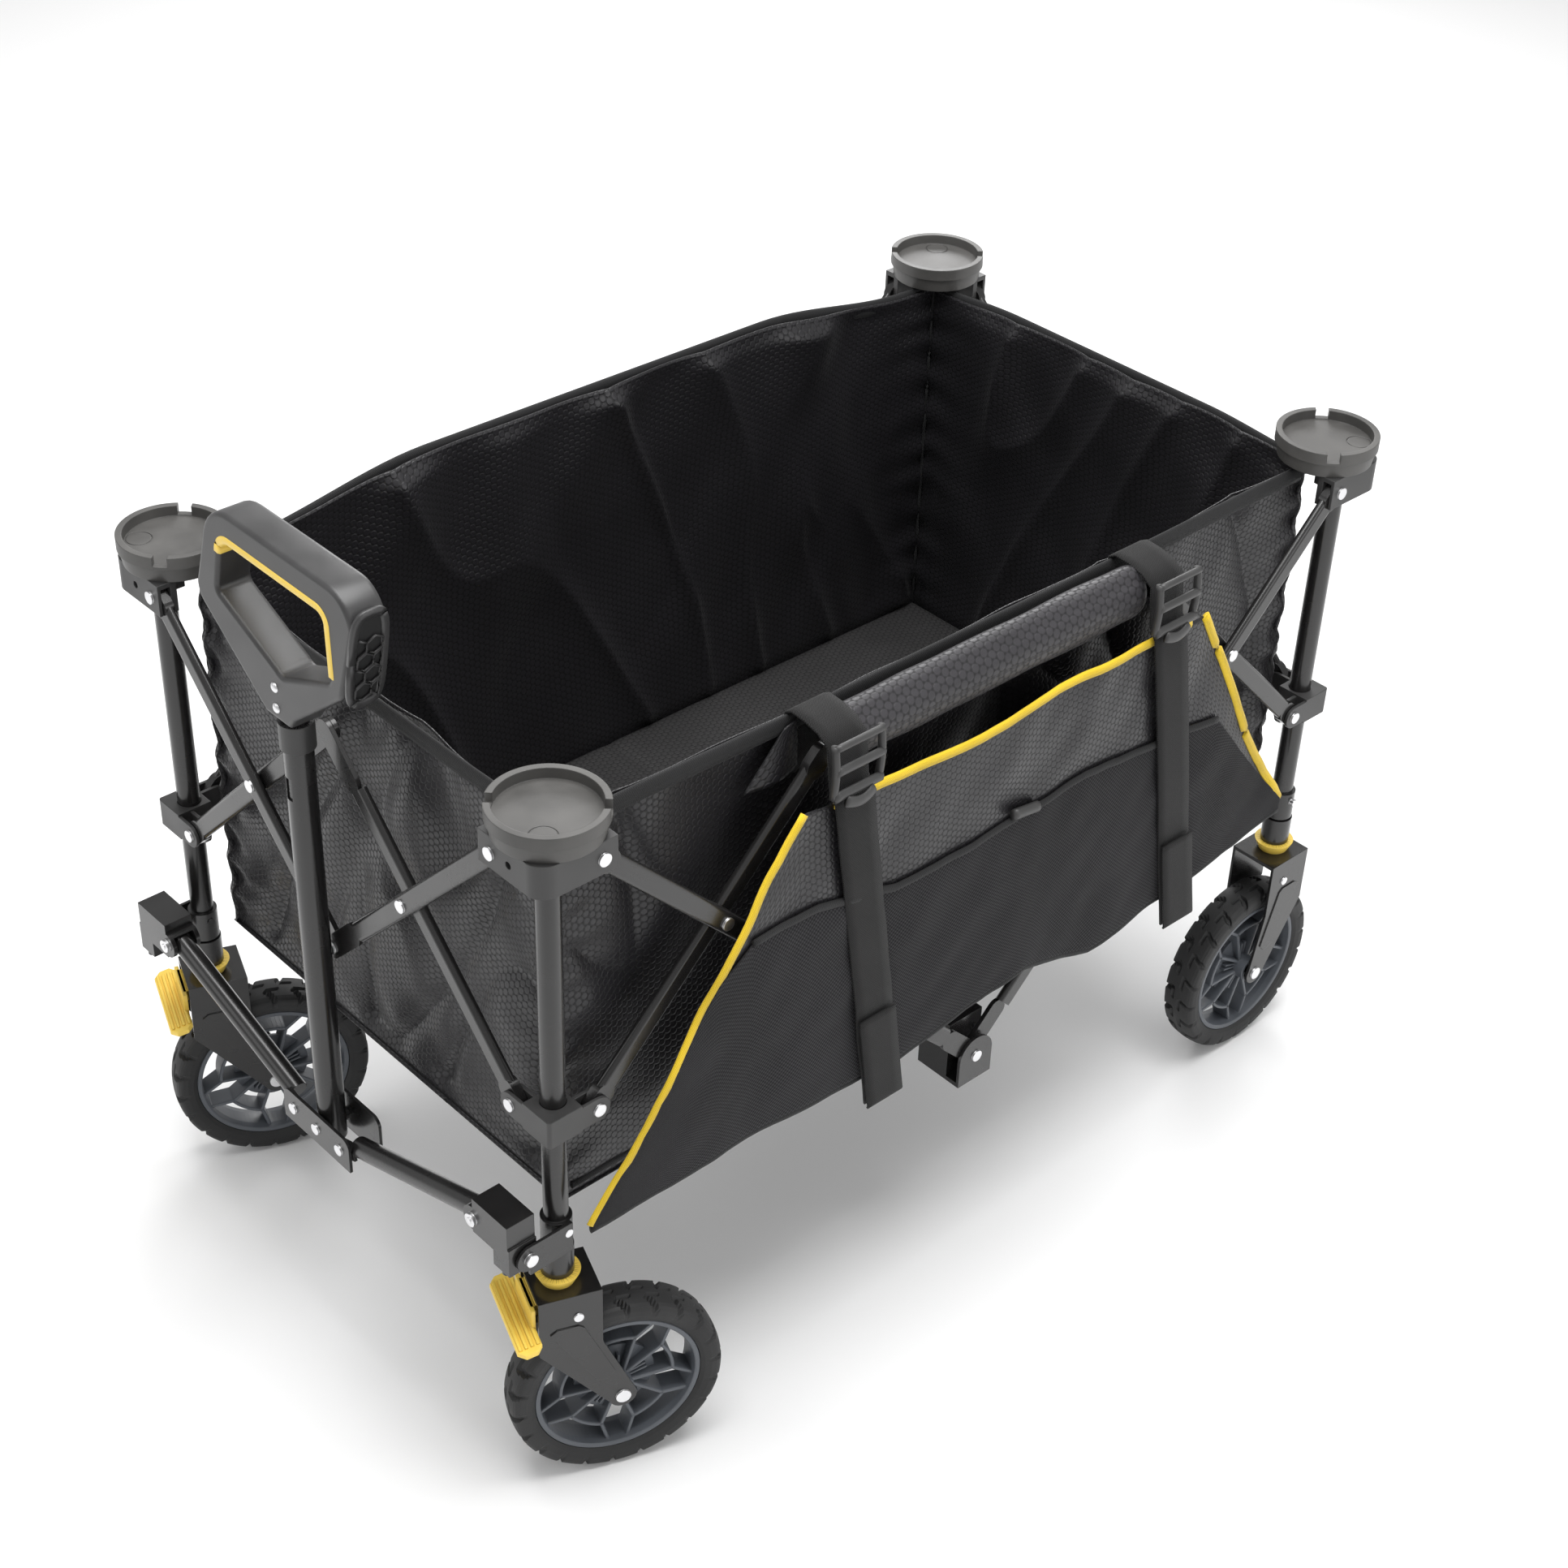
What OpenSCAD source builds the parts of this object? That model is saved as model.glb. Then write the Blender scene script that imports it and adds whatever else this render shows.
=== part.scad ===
// Collapsible four-way folding utility wagon with a telescoping pull handle.
// +X points to the handle end, +Y to the side with the pouch, +Z up, z = 0 is the ground.

/* [Frame] */
// Distance from the middle to a leg axis along the length
leg_x = 488; // [440:1:520]
// Distance from the middle to a leg axis across the width
leg_y = 277; // [250:1:300]
// Outer radius of a leg tube
leg_r = 11; // [10:0.5:12]
// Height of the lower end of a leg
leg_low = 252; // [245:1:258]
// Height of the top rivets that carry the long links
top_rivet_z = 695; // [680:1:705]
// Height of the sliding collars when the frame is open
collar_z = 430; // [415:1:445]
// Inward distance from a leg axis to the link pivots beside it
pivot_in = 32; // [30:0.5:34]

/* [Links] */
// Width of a flat-oval link tube
link_w = 20; // [16:1:20]
// Thickness of a link tube
link_t = 9; // [8:0.5:9]
// Wall thickness of a link tube
link_wall = 1.4; // [1:0.1:2]

/* [Wheels] */
// Wheel radius over the tread
wheel_r = 100; // [95:1:102]
// Tyre width
tyre_w = 38; // [32:1:40]
// Rim radius
rim_r = 78; // [72:1:80]
// Trail of a front caster
trail = 50; // [42:1:52]
// Forward offset of a fixed rear wheel
rear_offset = 35; // [30:1:40]
// Direction in which the front casters trail, from +X
caster_turn = 159; // [120:1:180]

/* [Basket] */
// Half the outside length of the fabric basket
basket_x = 470; // [430:1:470]
// Half the outside width of the fabric basket
basket_y = 262; // [240:1:262]
// Height of the basket's underside
basket_low = 300; // [298:1:306]
// Height of the hem on the pouch side
hem_near = 704; // [690:1:710]
// Height of the hem on the far side
hem_far = 736; // [704:1:740]
// Thickness of the basket walls
basket_wall = 4; // [3:0.5:6]

/* [Handle] */
// Distance of the pole axis in front of the leg axes
pole_out = 43; // [43:0.5:44]
// Outer radius of the lower pole tube
pole_r = 13; // [12.5:0.5:13]
// Height of the foot rivets
foot_z = 255; // [250:1:260]
// Height of the top of the grip
grip_top = 873; // [850:1:880]

/* [Hidden] */
$fn = 48;
link_angle = 45;
cross_at = 132.5 / cos(link_angle);
outer_layer = 23;
inner_layer = 13;
end_link = (leg_y - pivot_in) / cos(link_angle);
side_link = (leg_x - pivot_in) / cos(link_angle);
tab_len = 60;
tab_gap = 0.4;
pin_r = 3.5;
pin_gap = 0.05;
head_r = 6;
head_h = 2;
hub_z = top_rivet_z - (leg_x - pivot_in) * tan(link_angle);
cup_top = 738;
cup_floor = 712;
cup_r = 50;
cup_in = 10;
tilt_out = 42;
tilt_z = 303;
axle_r = 5;
crown_z = 240;
yoke_bolt_in = 36;
yoke_bolt_z = 322;
yoke_r = 10;
yoke_out = 46.5;
foot_rivet_y = 36.6;
strap_x = 200;
mid_y = -14.6;
black = "#1b1b1c";
plastic = "#3a3b3d";
cloth = "#202022";
yellow = "#f2c230";
steel = "#c8c9cb";
rim_grey = "#4b5057";

// ---- placing ----------------------------------------------------------------

// Everything is moved by mid_y, so that the trailing casters leave the frame in the middle.
// Frame of one corner: x and y point outwards from the leg axis.
module corner(sx, sy) {
    translate([sx * leg_x, sy * leg_y + mid_y, 0])
        mirror([sx < 0 ? 1 : 0, 0, 0])
            mirror([0, sy < 0 ? 1 : 0, 0])
                children();
}

// Turns a part made for the long side into the same part for the end face.
module end_face() {
    mirror([1, -1, 0]) children();
}

// Cylinder along +Y from y = low to y = high.
module rod_y(r, low, high) {
    translate([0, low, 0]) rotate([-90, 0, 0]) cylinder(h = high - low, r = r);
}

// Cylinder along +X from x = low to x = high.
module rod_x(r, low, high) {
    translate([low, 0, 0]) rotate([0, 90, 0]) cylinder(h = high - low, r = r);
}

// ---- links ------------------------------------------------------------------

module oval(w, t) {
    square([w - t, t], center = true);
    for (s = [-1, 1]) translate([s * (w - t) / 2, 0]) circle(d = t);
}

// Flat-oval bar along +X from x = low to x = high, its width along Z.
module oval_bar(low, high, w, t) {
    translate([low, 0, 0]) rotate([90, 0, 90]) rotate([0, 0, 90]) linear_extrude(high - low) oval(w, t);
}

// Flat plate with round ends in the XZ plane, from y = low to y = high.
module strap_plate(x0, x1, low, high, r) {
    translate([0, high, 0]) rotate([90, 0, 0]) linear_extrude(high - low) {
        translate([x0, 0]) circle(r);
        translate([x1, 0]) circle(r);
        translate([x0, -r]) square([x1 - x0, 2 * r]);
    }
}

module rod_at(x, r, low, high) {
    translate([x, 0, 0]) rod_y(r, low, high);
}

// One link along +X. half says which half of the thickness its far end keeps:
// 0 for all of it, 1 for the outer half, -1 for the inner half.
module link(len, half) {
    h = link_t / 2;
    r = link_w / 2 + 0.8;
    tube_end = half == 0 ? len - 14 : len - tab_len;
    core_w = link_w - 2 * link_wall;
    core_t = link_t - 2 * link_wall;
    strap_plate(0, 12, -h, h, r);
    difference() {
        oval_bar(6, tube_end + 3, link_w, link_t);
        oval_bar(18, cross_at - 12, core_w, core_t);
        oval_bar(cross_at + 12, tube_end - 6, core_w, core_t);
    }
    if (half == 0) strap_plate(len - 12, len, -h, h, r);
    if (half > 0) strap_plate(tube_end + 12, len, tab_gap / 2, h, r);
    if (half < 0) strap_plate(tube_end + 12, len, -h, -tab_gap / 2, r);
}

// Link that hangs from a bracket and carries the crossing pin.
module top_link(len, half, head, bored) {
    h = link_t / 2;
    inner_face = -(outer_layer - inner_layer) - h;
    difference() {
        link(len, half);
        rod_at(0, pin_r + pin_gap, -h - 1, h + 1);
        if (bored)
            rod_at(len, pin_r + pin_gap, -h - 1, h + 1);
    }
    rod_at(cross_at, pin_r, inner_face - 0.5, h);
    rod_at(cross_at, head_r, h - 0.5, h + head_h);
    rod_at(cross_at, head_r, inner_face - 0.4 - head_h, inner_face - 0.4);
    if (head) rod_at(len, head_r, h - 0.5, h + head_h);
}

// Link that rises from a sliding collar and turns on the crossing pin.
module brace(len, half, head) {
    h = link_t / 2;
    difference() {
        link(len, half);
        rod_at(cross_at, pin_r + pin_gap, -h - 1, h + 1);
    }
    if (head) rod_at(len, head_r, h - 0.5, h + head_h - 0.5);
}

module side_top_link(sx, sy) {
    color(black) corner(sx, sy)
        translate([-pivot_in, outer_layer, top_rivet_z])
            rotate([0, 90 + link_angle, 0]) top_link(side_link, sx, false, sx > 0);
}

module end_top_link(sx, sy) {
    color(black) corner(sx, sy) end_face()
        translate([-pivot_in, outer_layer, top_rivet_z])
            rotate([0, 90 + link_angle, 0]) top_link(end_link, sy, sy > 0, false);
}

module side_brace(sx, sy) {
    color(black) corner(sx, sy)
        translate([-pivot_in, inner_layer, collar_z])
            rotate([0, 270 - link_angle, 0]) brace(end_link, 0, false);
}

module end_brace(sx, sy) {
    color(black) corner(sx, sy) end_face()
        translate([-pivot_in, inner_layer, collar_z])
            rotate([0, 270 - link_angle, 0]) brace(end_link, sy, false);
}

// ---- legs, brackets, cups and collars ---------------------------------------

saddle_low = 284;
saddle_high = 316;

// Leg tube with its bottom bush and the steel saddle that carries the yoke.
module leg(sx, sy) {
    color(black) corner(sx, sy) {
        difference() {
            union() {
                translate([0, 0, leg_low]) cylinder(h = 704 - leg_low, r = leg_r);
                translate([0, 0, leg_low]) cylinder(h = 30, r = 15);
                translate([0, 0, saddle_low]) cylinder(h = saddle_high - saddle_low, r = 14);
                if (sx > 0) saddle_flange();
                rivet_pair(14);
            }
            translate([0, 0, leg_low + 40]) cylinder(h = 500, r = leg_r - 1.6);
            translate([0, 0, leg_low - 1]) cylinder(h = 36, r = axle_r + pin_gap);
        }
        if (sx > 0) translate([tilt_out, 0, tilt_z]) rod_y(3, -14, 19);
    }
}

module rivet_pair(r) {
    for (s = [-1, 1])
        translate([0, 0, (saddle_low + saddle_high) / 2 + 6])
            rod_y(4, s > 0 ? r - 2 : -r - 1, s > 0 ? r + 4.5 : -r + 2);
}

module saddle_flange() {
    translate([0, 15, saddle_low]) cube([tilt_out, 3, saddle_high - saddle_low]);
    translate([tilt_out, 0, tilt_z]) rod_y(13, 15, 18);
    translate([-4, 11, saddle_low]) cube([8, 7, saddle_high - saddle_low]);
    translate([tilt_out, 0, tilt_z]) rod_y(6, 17.5, 22);
}

wing_low = 681;

// Slot for the top of a link, and the rivet that carries it.
module wing_slot() {
    translate([-60, outer_layer - link_t / 2 - 0.3, wing_low - 1])
        cube([39.5, link_t + 0.6, top_rivet_z + link_w / 2 + 3.3 - wing_low]);
}

module wing() {
    translate([-pivot_in - 14, 12, wing_low]) cube([pivot_in + 14, 19, cup_floor - wing_low]);
}

module wing_rivet() {
    translate([-pivot_in, 0, top_rivet_z]) {
        rod_y(pin_r, 13, 31);
        rod_y(head_r, 30.5, 31 + head_h);
    }
}

// Rounded outside corner block that joins the two wings over the leg.
module bracket_block() {
    translate([-14, -14, wing_low]) cube([28, 45, cup_floor - wing_low]);
    translate([-14, -14, wing_low]) cube([45, 28, cup_floor - wing_low]);
    translate([14, 14, wing_low]) cylinder(h = cup_floor - wing_low, r = 17);
}

module bracket(sx, sy) {
    color(plastic) corner(sx, sy) {
        difference() {
            union() {
                bracket_block();
                wing();
                end_face() wing();
            }
            translate([0, 0, wing_low - 1]) cylinder(h = 704.2 - wing_low + 1, r = leg_r + pin_gap);
            wing_slot();
            end_face() wing_slot();
            end_face() translate([-8, 0, top_rivet_z + 2]) rod_y(3.4, 26, 40);
        }
        wing_rivet();
        end_face() wing_rivet();
    }
}

// Shallow round tray with two notches in its rim and a round plug mark in its floor.
module cup(sx, sy) {
    color(plastic) corner(sx, sy) translate([-cup_in, -cup_in, 0]) {
        difference() {
            union() {
                translate([0, 0, cup_floor]) cylinder(h = 14, r1 = cup_r - 4, r2 = cup_r - 1.5, $fn = 96);
                translate([0, 0, cup_floor + 14])
                    cylinder(h = cup_top - cup_floor - 14, r = cup_r, $fn = 96);
            }
            translate([0, 0, cup_floor + 16]) cylinder(h = 40, r = cup_r - 6, $fn = 96);
            for (a = [135, 315]) rotate([0, 0, a])
                translate([30, -6.5, cup_floor + 17]) cube([40, 13, 40]);
            translate([22, 22, cup_floor + 15.4]) difference() {
                cylinder(h = 2, r = 12);
                translate([0, 0, -1]) cylinder(h = 4, r = 11.2);
            }
        }
    }
}

// Ear plates beside a collar, open above and below for the end of a brace.
module collar_ear() {
    for (y = [[4.6, 8.1], [17.9, 21]])
        translate([0, 0, collar_z]) {
            translate([-pivot_in, 0, 0]) rod_y(12, y[0], y[1]);
            translate([-pivot_in, y[0], -12]) cube([pivot_in, y[1] - y[0], 24]);
        }
    translate([-pivot_in, 0, collar_z]) rod_y(head_r, 20.5, 21 + head_h);
}

module collar_block(h) {
    translate([-14.5, -14.5, collar_z - h / 2]) cube([32, 35.5, h]);
    translate([-14.5, -14.5, collar_z - h / 2]) cube([35.5, 32, h]);
    translate([17.5, 17.5, collar_z - h / 2]) cylinder(h = h, r = 3.5);
}

module collar(sx, sy) {
    color(plastic) corner(sx, sy) difference() {
        union() {
            collar_block(28);
            collar_ear();
            end_face() collar_ear();
        }
        translate([0, 0, collar_z - 50]) cylinder(h = 100, r = leg_r + 0.3);
        ear_clearance();
        end_face() ear_clearance();
    }
}

// Room for the end of a brace between the two ears.
module ear_clearance() {
    translate([-60, 8.1, collar_z - 30]) cube([43, 9.8, 60]);
}

// ---- hubs under the long sides ----------------------------------------------

module side_hub(sy) {
    color(black) translate([0, sy * leg_y + mid_y, hub_z]) mirror([0, sy < 0 ? 1 : 0, 0]) {
        rod_y(pin_r, outer_layer + tab_gap / 2 + 0.2, outer_layer + 6);
        rod_y(22, outer_layer + 4.9, outer_layer + 8);
        rod_y(head_r, outer_layer + 7.5, outer_layer + 10);
        translate([-22, outer_layer + 4.9, -30]) cube([44, 3.1, 30]);
        translate([-22, -24, -30]) cube([44, outer_layer + 32, 5]);
        difference() {
            translate([-22, -24, -30]) cube([44, 38, 68]);
            translate([-18, -20, -26]) cube([36, 30, 60]);
        }
        translate([0, -8, 34]) cylinder(h = 296 - hub_z - 34, r = 8);
    }
}

// ---- wheels and forks -------------------------------------------------------

function wheel_at(sx, sy) = sx > 0
    ? [leg_x + trail * cos(caster_turn), sy * leg_y + mid_y + trail * sin(caster_turn)]
    : [-leg_x + rear_offset, sy * leg_y + mid_y];
function fork_turn(sx) = sx > 0 ? caster_turn : 0;

// Fork frame: x runs from the leg axis towards the wheel, y along the axle.
module fork_plate(reach, y) {
    translate([0, y, 0]) {
        translate([-26, 0, 176]) cube([58, 3, crown_z - 176]);
        translate([reach, 0, wheel_r]) rod_y(13, 0, 3);
        translate([0, 3, 0]) rotate([90, 0, 0]) linear_extrude(3)
            polygon([[-26, 176], [32, 176], [reach + 11, wheel_r + 7], [reach - 12, wheel_r - 5]]);
        translate([0, y < 0 ? -1.2 : 2.6, 0]) fork_bead(reach);
    }
}

// Low embossed field that follows the plate towards the axle.
module fork_bead(reach) {
    translate([0, 1.6, 0]) rotate([90, 0, 0]) linear_extrude(1.6)
        polygon([[-16, 200], [-10, 204], [10, 204], [15, 200], [reach * 0.55 + 15, 136],
            [reach * 0.55 + 8, 128], [reach * 0.55 - 2, 130]]);
}

module fork(sx, sy, reach) {
    color(black) translate([sx * leg_x, sy * leg_y + mid_y, 0]) rotate([0, 0, fork_turn(sx)]) {
        translate([-26, -27.5, crown_z - 4]) cube([58, 55, 4]);
        fork_plate(reach, -27.5);
        fork_plate(reach, 24.5);
        translate([0, 0, crown_z - 1]) cylinder(h = 40, r = axle_r);
        translate([reach, 0, wheel_r]) rod_y(axle_r, -29.5, 29.5);
        translate([reach, 0, wheel_r]) for (s = [-1, 1]) rod_y(7, s > 0 ? 27 : -29.5, s > 0 ? 29.5 : -27);
        translate([10, 0, 214]) for (s = [-1, 1]) rod_y(4.5, s > 0 ? 27 : -29, s > 0 ? 29 : -27);
        if (sx > 0) translate([-21, 0, 226]) rod_y(pin_r, -24.6, 24.6);
    }
    color(yellow) translate([sx * leg_x, sy * leg_y + mid_y, crown_z]) difference() {
        cylinder(h = 11, r1 = 15.5, r2 = 20.5);
        translate([0, 0, -1]) cylinder(h = 20, r = axle_r);
    }
}

module tyre(sx, sy) {
    color(black) on_axle(sx, sy) rotate_extrude($fn = 96)
        polygon([[rim_r, -15], [rim_r, 15], [rim_r + 10, tyre_w / 2], [wheel_r - 6, tyre_w / 2],
            [wheel_r, tyre_w / 2 - 7], [wheel_r, -tyre_w / 2 + 7], [wheel_r - 6, -tyre_w / 2],
            [rim_r + 10, -tyre_w / 2]]);
}

// Wheel frame: z along the axle, origin at the wheel's middle.
module on_axle(sx, sy) {
    p = wheel_at(sx, sy);
    translate([p[0], p[1], wheel_r]) rotate([0, 0, fork_turn(sx)]) rotate([90, 0, 0]) children();
}

module rim(sx, sy) {
    color(rim_grey) on_axle(sx, sy) difference() {
        union() {
            difference() {
                translate([0, 0, -15]) cylinder(h = 30, r = rim_r, $fn = 96);
                translate([0, 0, -16]) cylinder(h = 32, r = rim_r - 6, $fn = 96);
            }
            translate([0, 0, -22]) cylinder(h = 44, r = 15);
            translate([0, 0, -9]) linear_extrude(18) spoke_plan();
        }
        translate([0, 0, -30]) cylinder(h = 60, r = axle_r + pin_gap);
    }
}

// Seven spokes, each split in two between the inner ring and the rim.
module spoke_plan() {
    difference() {
        circle(34, $fn = 96);
        circle(30, $fn = 96);
    }
    for (i = [0 : 6]) rotate(i * 360 / 7) {
        translate([10, -2]) square([22, 4]);
        for (a = [-1, 1]) translate([32, 0]) rotate(a * 22) translate([-1, -2]) square([43, 4]);
    }
}

// Pedal with lengthwise ribs and two side webs, on the caster fork's cross pin.
module brake_lever(sy) {
    color(yellow) translate([leg_x, sy * leg_y + mid_y, 0]) rotate([0, 0, caster_turn]) difference() {
        union() {
            translate([-21, 0, 226]) rod_y(7, -18, 18);
            for (y = [-18, 14]) translate([0, y + 4, 0]) rotate([90, 0, 0]) linear_extrude(4)
                polygon([[-19, 232.5], [-50, 234], [-54, 226], [-45, 186], [-38, 184], [-24, 212]]);
            translate([-40, 0, 160]) rotate([0, -13, 0]) pedal();
        }
        translate([-21, 0, 226]) rod_y(pin_r + pin_gap, -20, 20);
    }
}

// Pedal plate: y across, z up, with cut corners and four ribs on its outer face.
module pedal() {
    rotate([90, 0, 90]) linear_extrude(5)
        polygon([[-25, 8], [-17, 0], [17, 0], [25, 8], [25, 69], [18, 76], [-18, 76], [-25, 69]]);
    for (y = [-19, -8, 3, 14]) translate([-1.6, y, 6]) cube([3, 5, 64]);
}

// ---- pull handle ------------------------------------------------------------

// Box bracket hinged on a front saddle, and the tube bolted into it.
yoke_reach = leg_y - yoke_bolt_in - foot_rivet_y;
yoke_drop = yoke_bolt_z - foot_z;
yoke_len = sqrt(yoke_reach * yoke_reach + yoke_drop * yoke_drop);
yoke_slope = atan(yoke_drop / yoke_reach);

module yoke_box() {
    difference() {
        union() {
            translate([32, -yoke_bolt_in, 307]) cube([29, 48, 38]);
            translate([46.5, -yoke_bolt_in, yoke_bolt_z]) rod_x(13, -14.5, 14.5);
            translate([32, -yoke_bolt_in, 328]) cube([29, 20, 17]);
            translate([32, -8, 290]) cube([29, 22, 30]);
        }
        translate([yoke_out - yoke_r - 0.3, -yoke_bolt_in - 20, 270])
            cube([2 * yoke_r + 0.6, 34, yoke_bolt_z + yoke_r + 0.4 - 270]);
        translate([tilt_out, 0, tilt_z]) rod_y(3 + pin_gap, -30, 30);
    }
    translate([yoke_out, -yoke_bolt_in, yoke_bolt_z]) rod_x(3, -17, 19);
    translate([yoke_out, -yoke_bolt_in, yoke_bolt_z]) rod_x(6.5, 14.3, 18);
    translate([56, 4, 286]) cylinder(h = 5, r = 4.5);
    translate([54, -18, 303]) cylinder(h = 5, r = 4.5);
}

// Tube from the box bolt to the foot rivet, flat at its lower end.
module yoke_tube() {
    translate([yoke_out, -yoke_bolt_in, yoke_bolt_z]) rotate([yoke_slope, 0, 0]) mirror([0, 1, 0]) {
        difference() {
            union() {
                rod_y(yoke_r, 0, yoke_len - 14);
                rod_x(yoke_r, -6, 6);
                translate([7, yoke_len - 16, -9.9]) cube([3, 16, 19.8]);
                translate([0, yoke_len, 0]) rod_x(9.9, 7, 10);
            }
            rod_y(yoke_r - 1.6, 12, yoke_len - 18);
            rod_x(3 + pin_gap, -12, 12);
        }
    }
}

// Lower pole tube with its top collar and the two foot plates, all on one body.
module pull_pole() {
    plate_h = 36;
    color(black) translate([leg_x + pole_out, mid_y, 0]) {
        difference() {
            union() {
                translate([0, 0, foot_z - 15]) cylinder(h = 672 - foot_z + 15, r = pole_r);
                translate([0, 0, foot_z]) rod_x(6, 5, 15);
                translate([0, 0, foot_z]) rod_x(6, -16.5, -5);
            }
            translate([0, 0, foot_z - 10]) cylinder(h = 500, r = pole_r - 1.5);
            translate([pole_r - 5, -4, 622]) cube([10, 8, 22]);
        }
        foot_plate(14.5, plate_h);
        foot_plate(-19, plate_h + 8);
        for (y = [-foot_rivet_y, 0, foot_rivet_y]) translate([0, y, foot_z]) {
            rod_x(5.5, 17, 19.5);
            rod_x(5.5, -21.5, -18.5);
        }
    }
    color(plastic) translate([leg_x + pole_out, mid_y, 672]) difference() {
        cylinder(h = 26, r = 15.5);
        translate([0, 0, -1]) cylinder(h = 40, r = pole_r - 1.5);
    }
}

// Plate across the foot with rounded ends, 3 mm thick from x.
module foot_plate(x, h) {
    translate([x, -52, foot_z - 18]) cube([3, 104, h - 10]);
    translate([x, -42, foot_z - 18]) cube([3, 84, h]);
    for (s = [-1, 1]) translate([0, s * 42, foot_z - 28 + h]) rod_x(10, x, x + 3);
}

module inner_tube() {
    color(black) translate([leg_x + pole_out, mid_y, 400]) difference() {
        cylinder(h = 330, r = pole_r - 1.6);
        translate([0, 0, -1]) cylinder(h = 400, r = pole_r - 3.1);
    }
}

// Outline points of an arc in the plane of the grip.
function arc(c, r, a0, a1, n = 6) =
    [for (i = [0 : n]) c + r * [cos(a0 + (a1 - a0) * i / n), sin(a0 + (a1 - a0) * i / n)]];

// D-shaped grip in the plane across the wagon, sleeved over the inner tube.
module pull_grip() {
    outer = concat([[-17, 706], [17, 706], [24, 714]], arc([88, 782], 16, -50, -15),
        arc([92, 841], 32, 5, 90), arc([-48, 828], 45, 90, 170), arc([-86, 786], 22, 175, 230));
    hole = concat(arc([14, 768], 16, -130, -90), arc([72, 790], 16, -50, 0),
        arc([72, 833], 14, 10, 90), arc([-50, 829], 18, 90, 175), arc([-68, 796], 8, 180, 232));
    translate([leg_x + pole_out, mid_y, 0]) {
        color(plastic) difference() {
            union() {
                translate([-17, 0, 0]) rotate([90, 0, 90]) linear_extrude(34)
                    difference() {
                        polygon(outer);
                        polygon(hole);
                    }
                translate([0, 0, 706]) cylinder(h = 20, r = 16);
            }
            translate([0, 0, 700]) cylinder(h = 30.2, r = pole_r - 1.55);
        }
        translate([0, 0, 716]) rod_x(2.5, -19, -16.8);
        for (z = [716, 736]) translate([0, 0, z]) color(steel) rod_x(5, 17, 19.5);
    }
}

// ---- soft parts -------------------------------------------------------------

module floor_plan(x, y, cut) {
    polygon([[x - cut, y], [cut - x, y], [-x, y - cut], [-x, cut - y],
        [cut - x, -y], [x - cut, -y], [x, cut - y], [x, y - cut]]);
}

module basket() {
    slope = atan((hem_far - hem_near) / (2 * basket_y));
    color(cloth) translate([0, mid_y, 0]) difference() {
        translate([0, 0, basket_low]) linear_extrude(hem_far - basket_low)
            floor_plan(basket_x, basket_y, 12);
        translate([0, 0, basket_low + basket_wall]) linear_extrude(hem_far - basket_low)
            floor_plan(basket_x - basket_wall, basket_y - basket_wall, 12);
        translate([-600, basket_y, hem_near]) rotate([-slope, 0, 0])
            translate([0, -700, 0]) cube([1200, 800, 100]);
        for (sx = [-1, 1], sy = [-1, 1])
            translate([sx * (leg_x - cup_in), sy * (leg_y - cup_in), cup_floor - 1])
                cylinder(h = 60, r = cup_r + 3);
    }
}

module floor_mat() {
    color(cloth) translate([0, mid_y, basket_low + basket_wall]) linear_extrude(7)
        floor_plan(basket_x - basket_wall - 0.5, basket_y - basket_wall - 0.5, 12);
}

pouch_y = leg_y + 35;

// Hanging pouch sheet, its mesh pockets, and the padded roll along the hem.
module side_pouch() {
    color(cloth) translate([0, mid_y, 0]) {
        translate([0, pouch_y + 4, 0]) rotate([90, 0, 0]) linear_extrude(4)
            polygon([[216, 644], [-234, 638], [-300, 560], [-430, 350], [-380, 330], [-143, 305],
                [-48, 330], [118, 306], [286, 322], [479, 328], [400, 370], [250, 500]]);
        translate([0, pouch_y + 7, 0]) rotate([90, 0, 0]) linear_extrude(3)
            polygon([[236, 530], [-290, 520], [-380, 360], [-143, 312], [-48, 337], [118, 312],
                [286, 328], [380, 360]]);
        translate([0, leg_y + 11, 690]) rod_x(17, -174, 174);
    }
}

// Webbing strap over the hem, hanging outside the pouch.
module strap(x) {
    color(black) translate([x - 22, mid_y, 0]) {
        translate([0, pouch_y + 7.5, 278]) cube([44, 2.5, 431.5]);
        translate([0, 252, 707]) cube([44, pouch_y + 10 - 252, 2.5]);
    }
}

module buckle(x) {
    color(plastic) translate([x - 27, mid_y + pouch_y + 9.9, 652]) difference() {
        cube([54, 6, 56]);
        for (z = [7, 34]) translate([6, -1, z]) cube([42, 8, 14]);
    }
}

// ---- nodes ------------------------------------------------------------------

module strap_front() {
    strap(strap_x);
    buckle(strap_x);
}

module strap_rear() {
    strap(-strap_x);
    buckle(-strap_x);
}

module leg_front_left() leg(1, 1);
module leg_front_right() leg(1, -1);
module leg_rear_left() leg(-1, 1);
module leg_rear_right() leg(-1, -1);
module bracket_front_left() bracket(1, 1);
module bracket_front_right() bracket(1, -1);
module bracket_rear_left() bracket(-1, 1);
module bracket_rear_right() bracket(-1, -1);
module cup_front_left() cup(1, 1);
module cup_front_right() cup(1, -1);
module cup_rear_left() cup(-1, 1);
module cup_rear_right() cup(-1, -1);
module collar_front_left() collar(1, 1);
module collar_front_right() collar(1, -1);
module collar_rear_left() collar(-1, 1);
module collar_rear_right() collar(-1, -1);
module end_top_link_front_left() end_top_link(1, 1);
module end_top_link_front_right() end_top_link(1, -1);
module end_top_link_rear_left() end_top_link(-1, 1);
module end_top_link_rear_right() end_top_link(-1, -1);
module end_brace_front_left() end_brace(1, 1);
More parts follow.
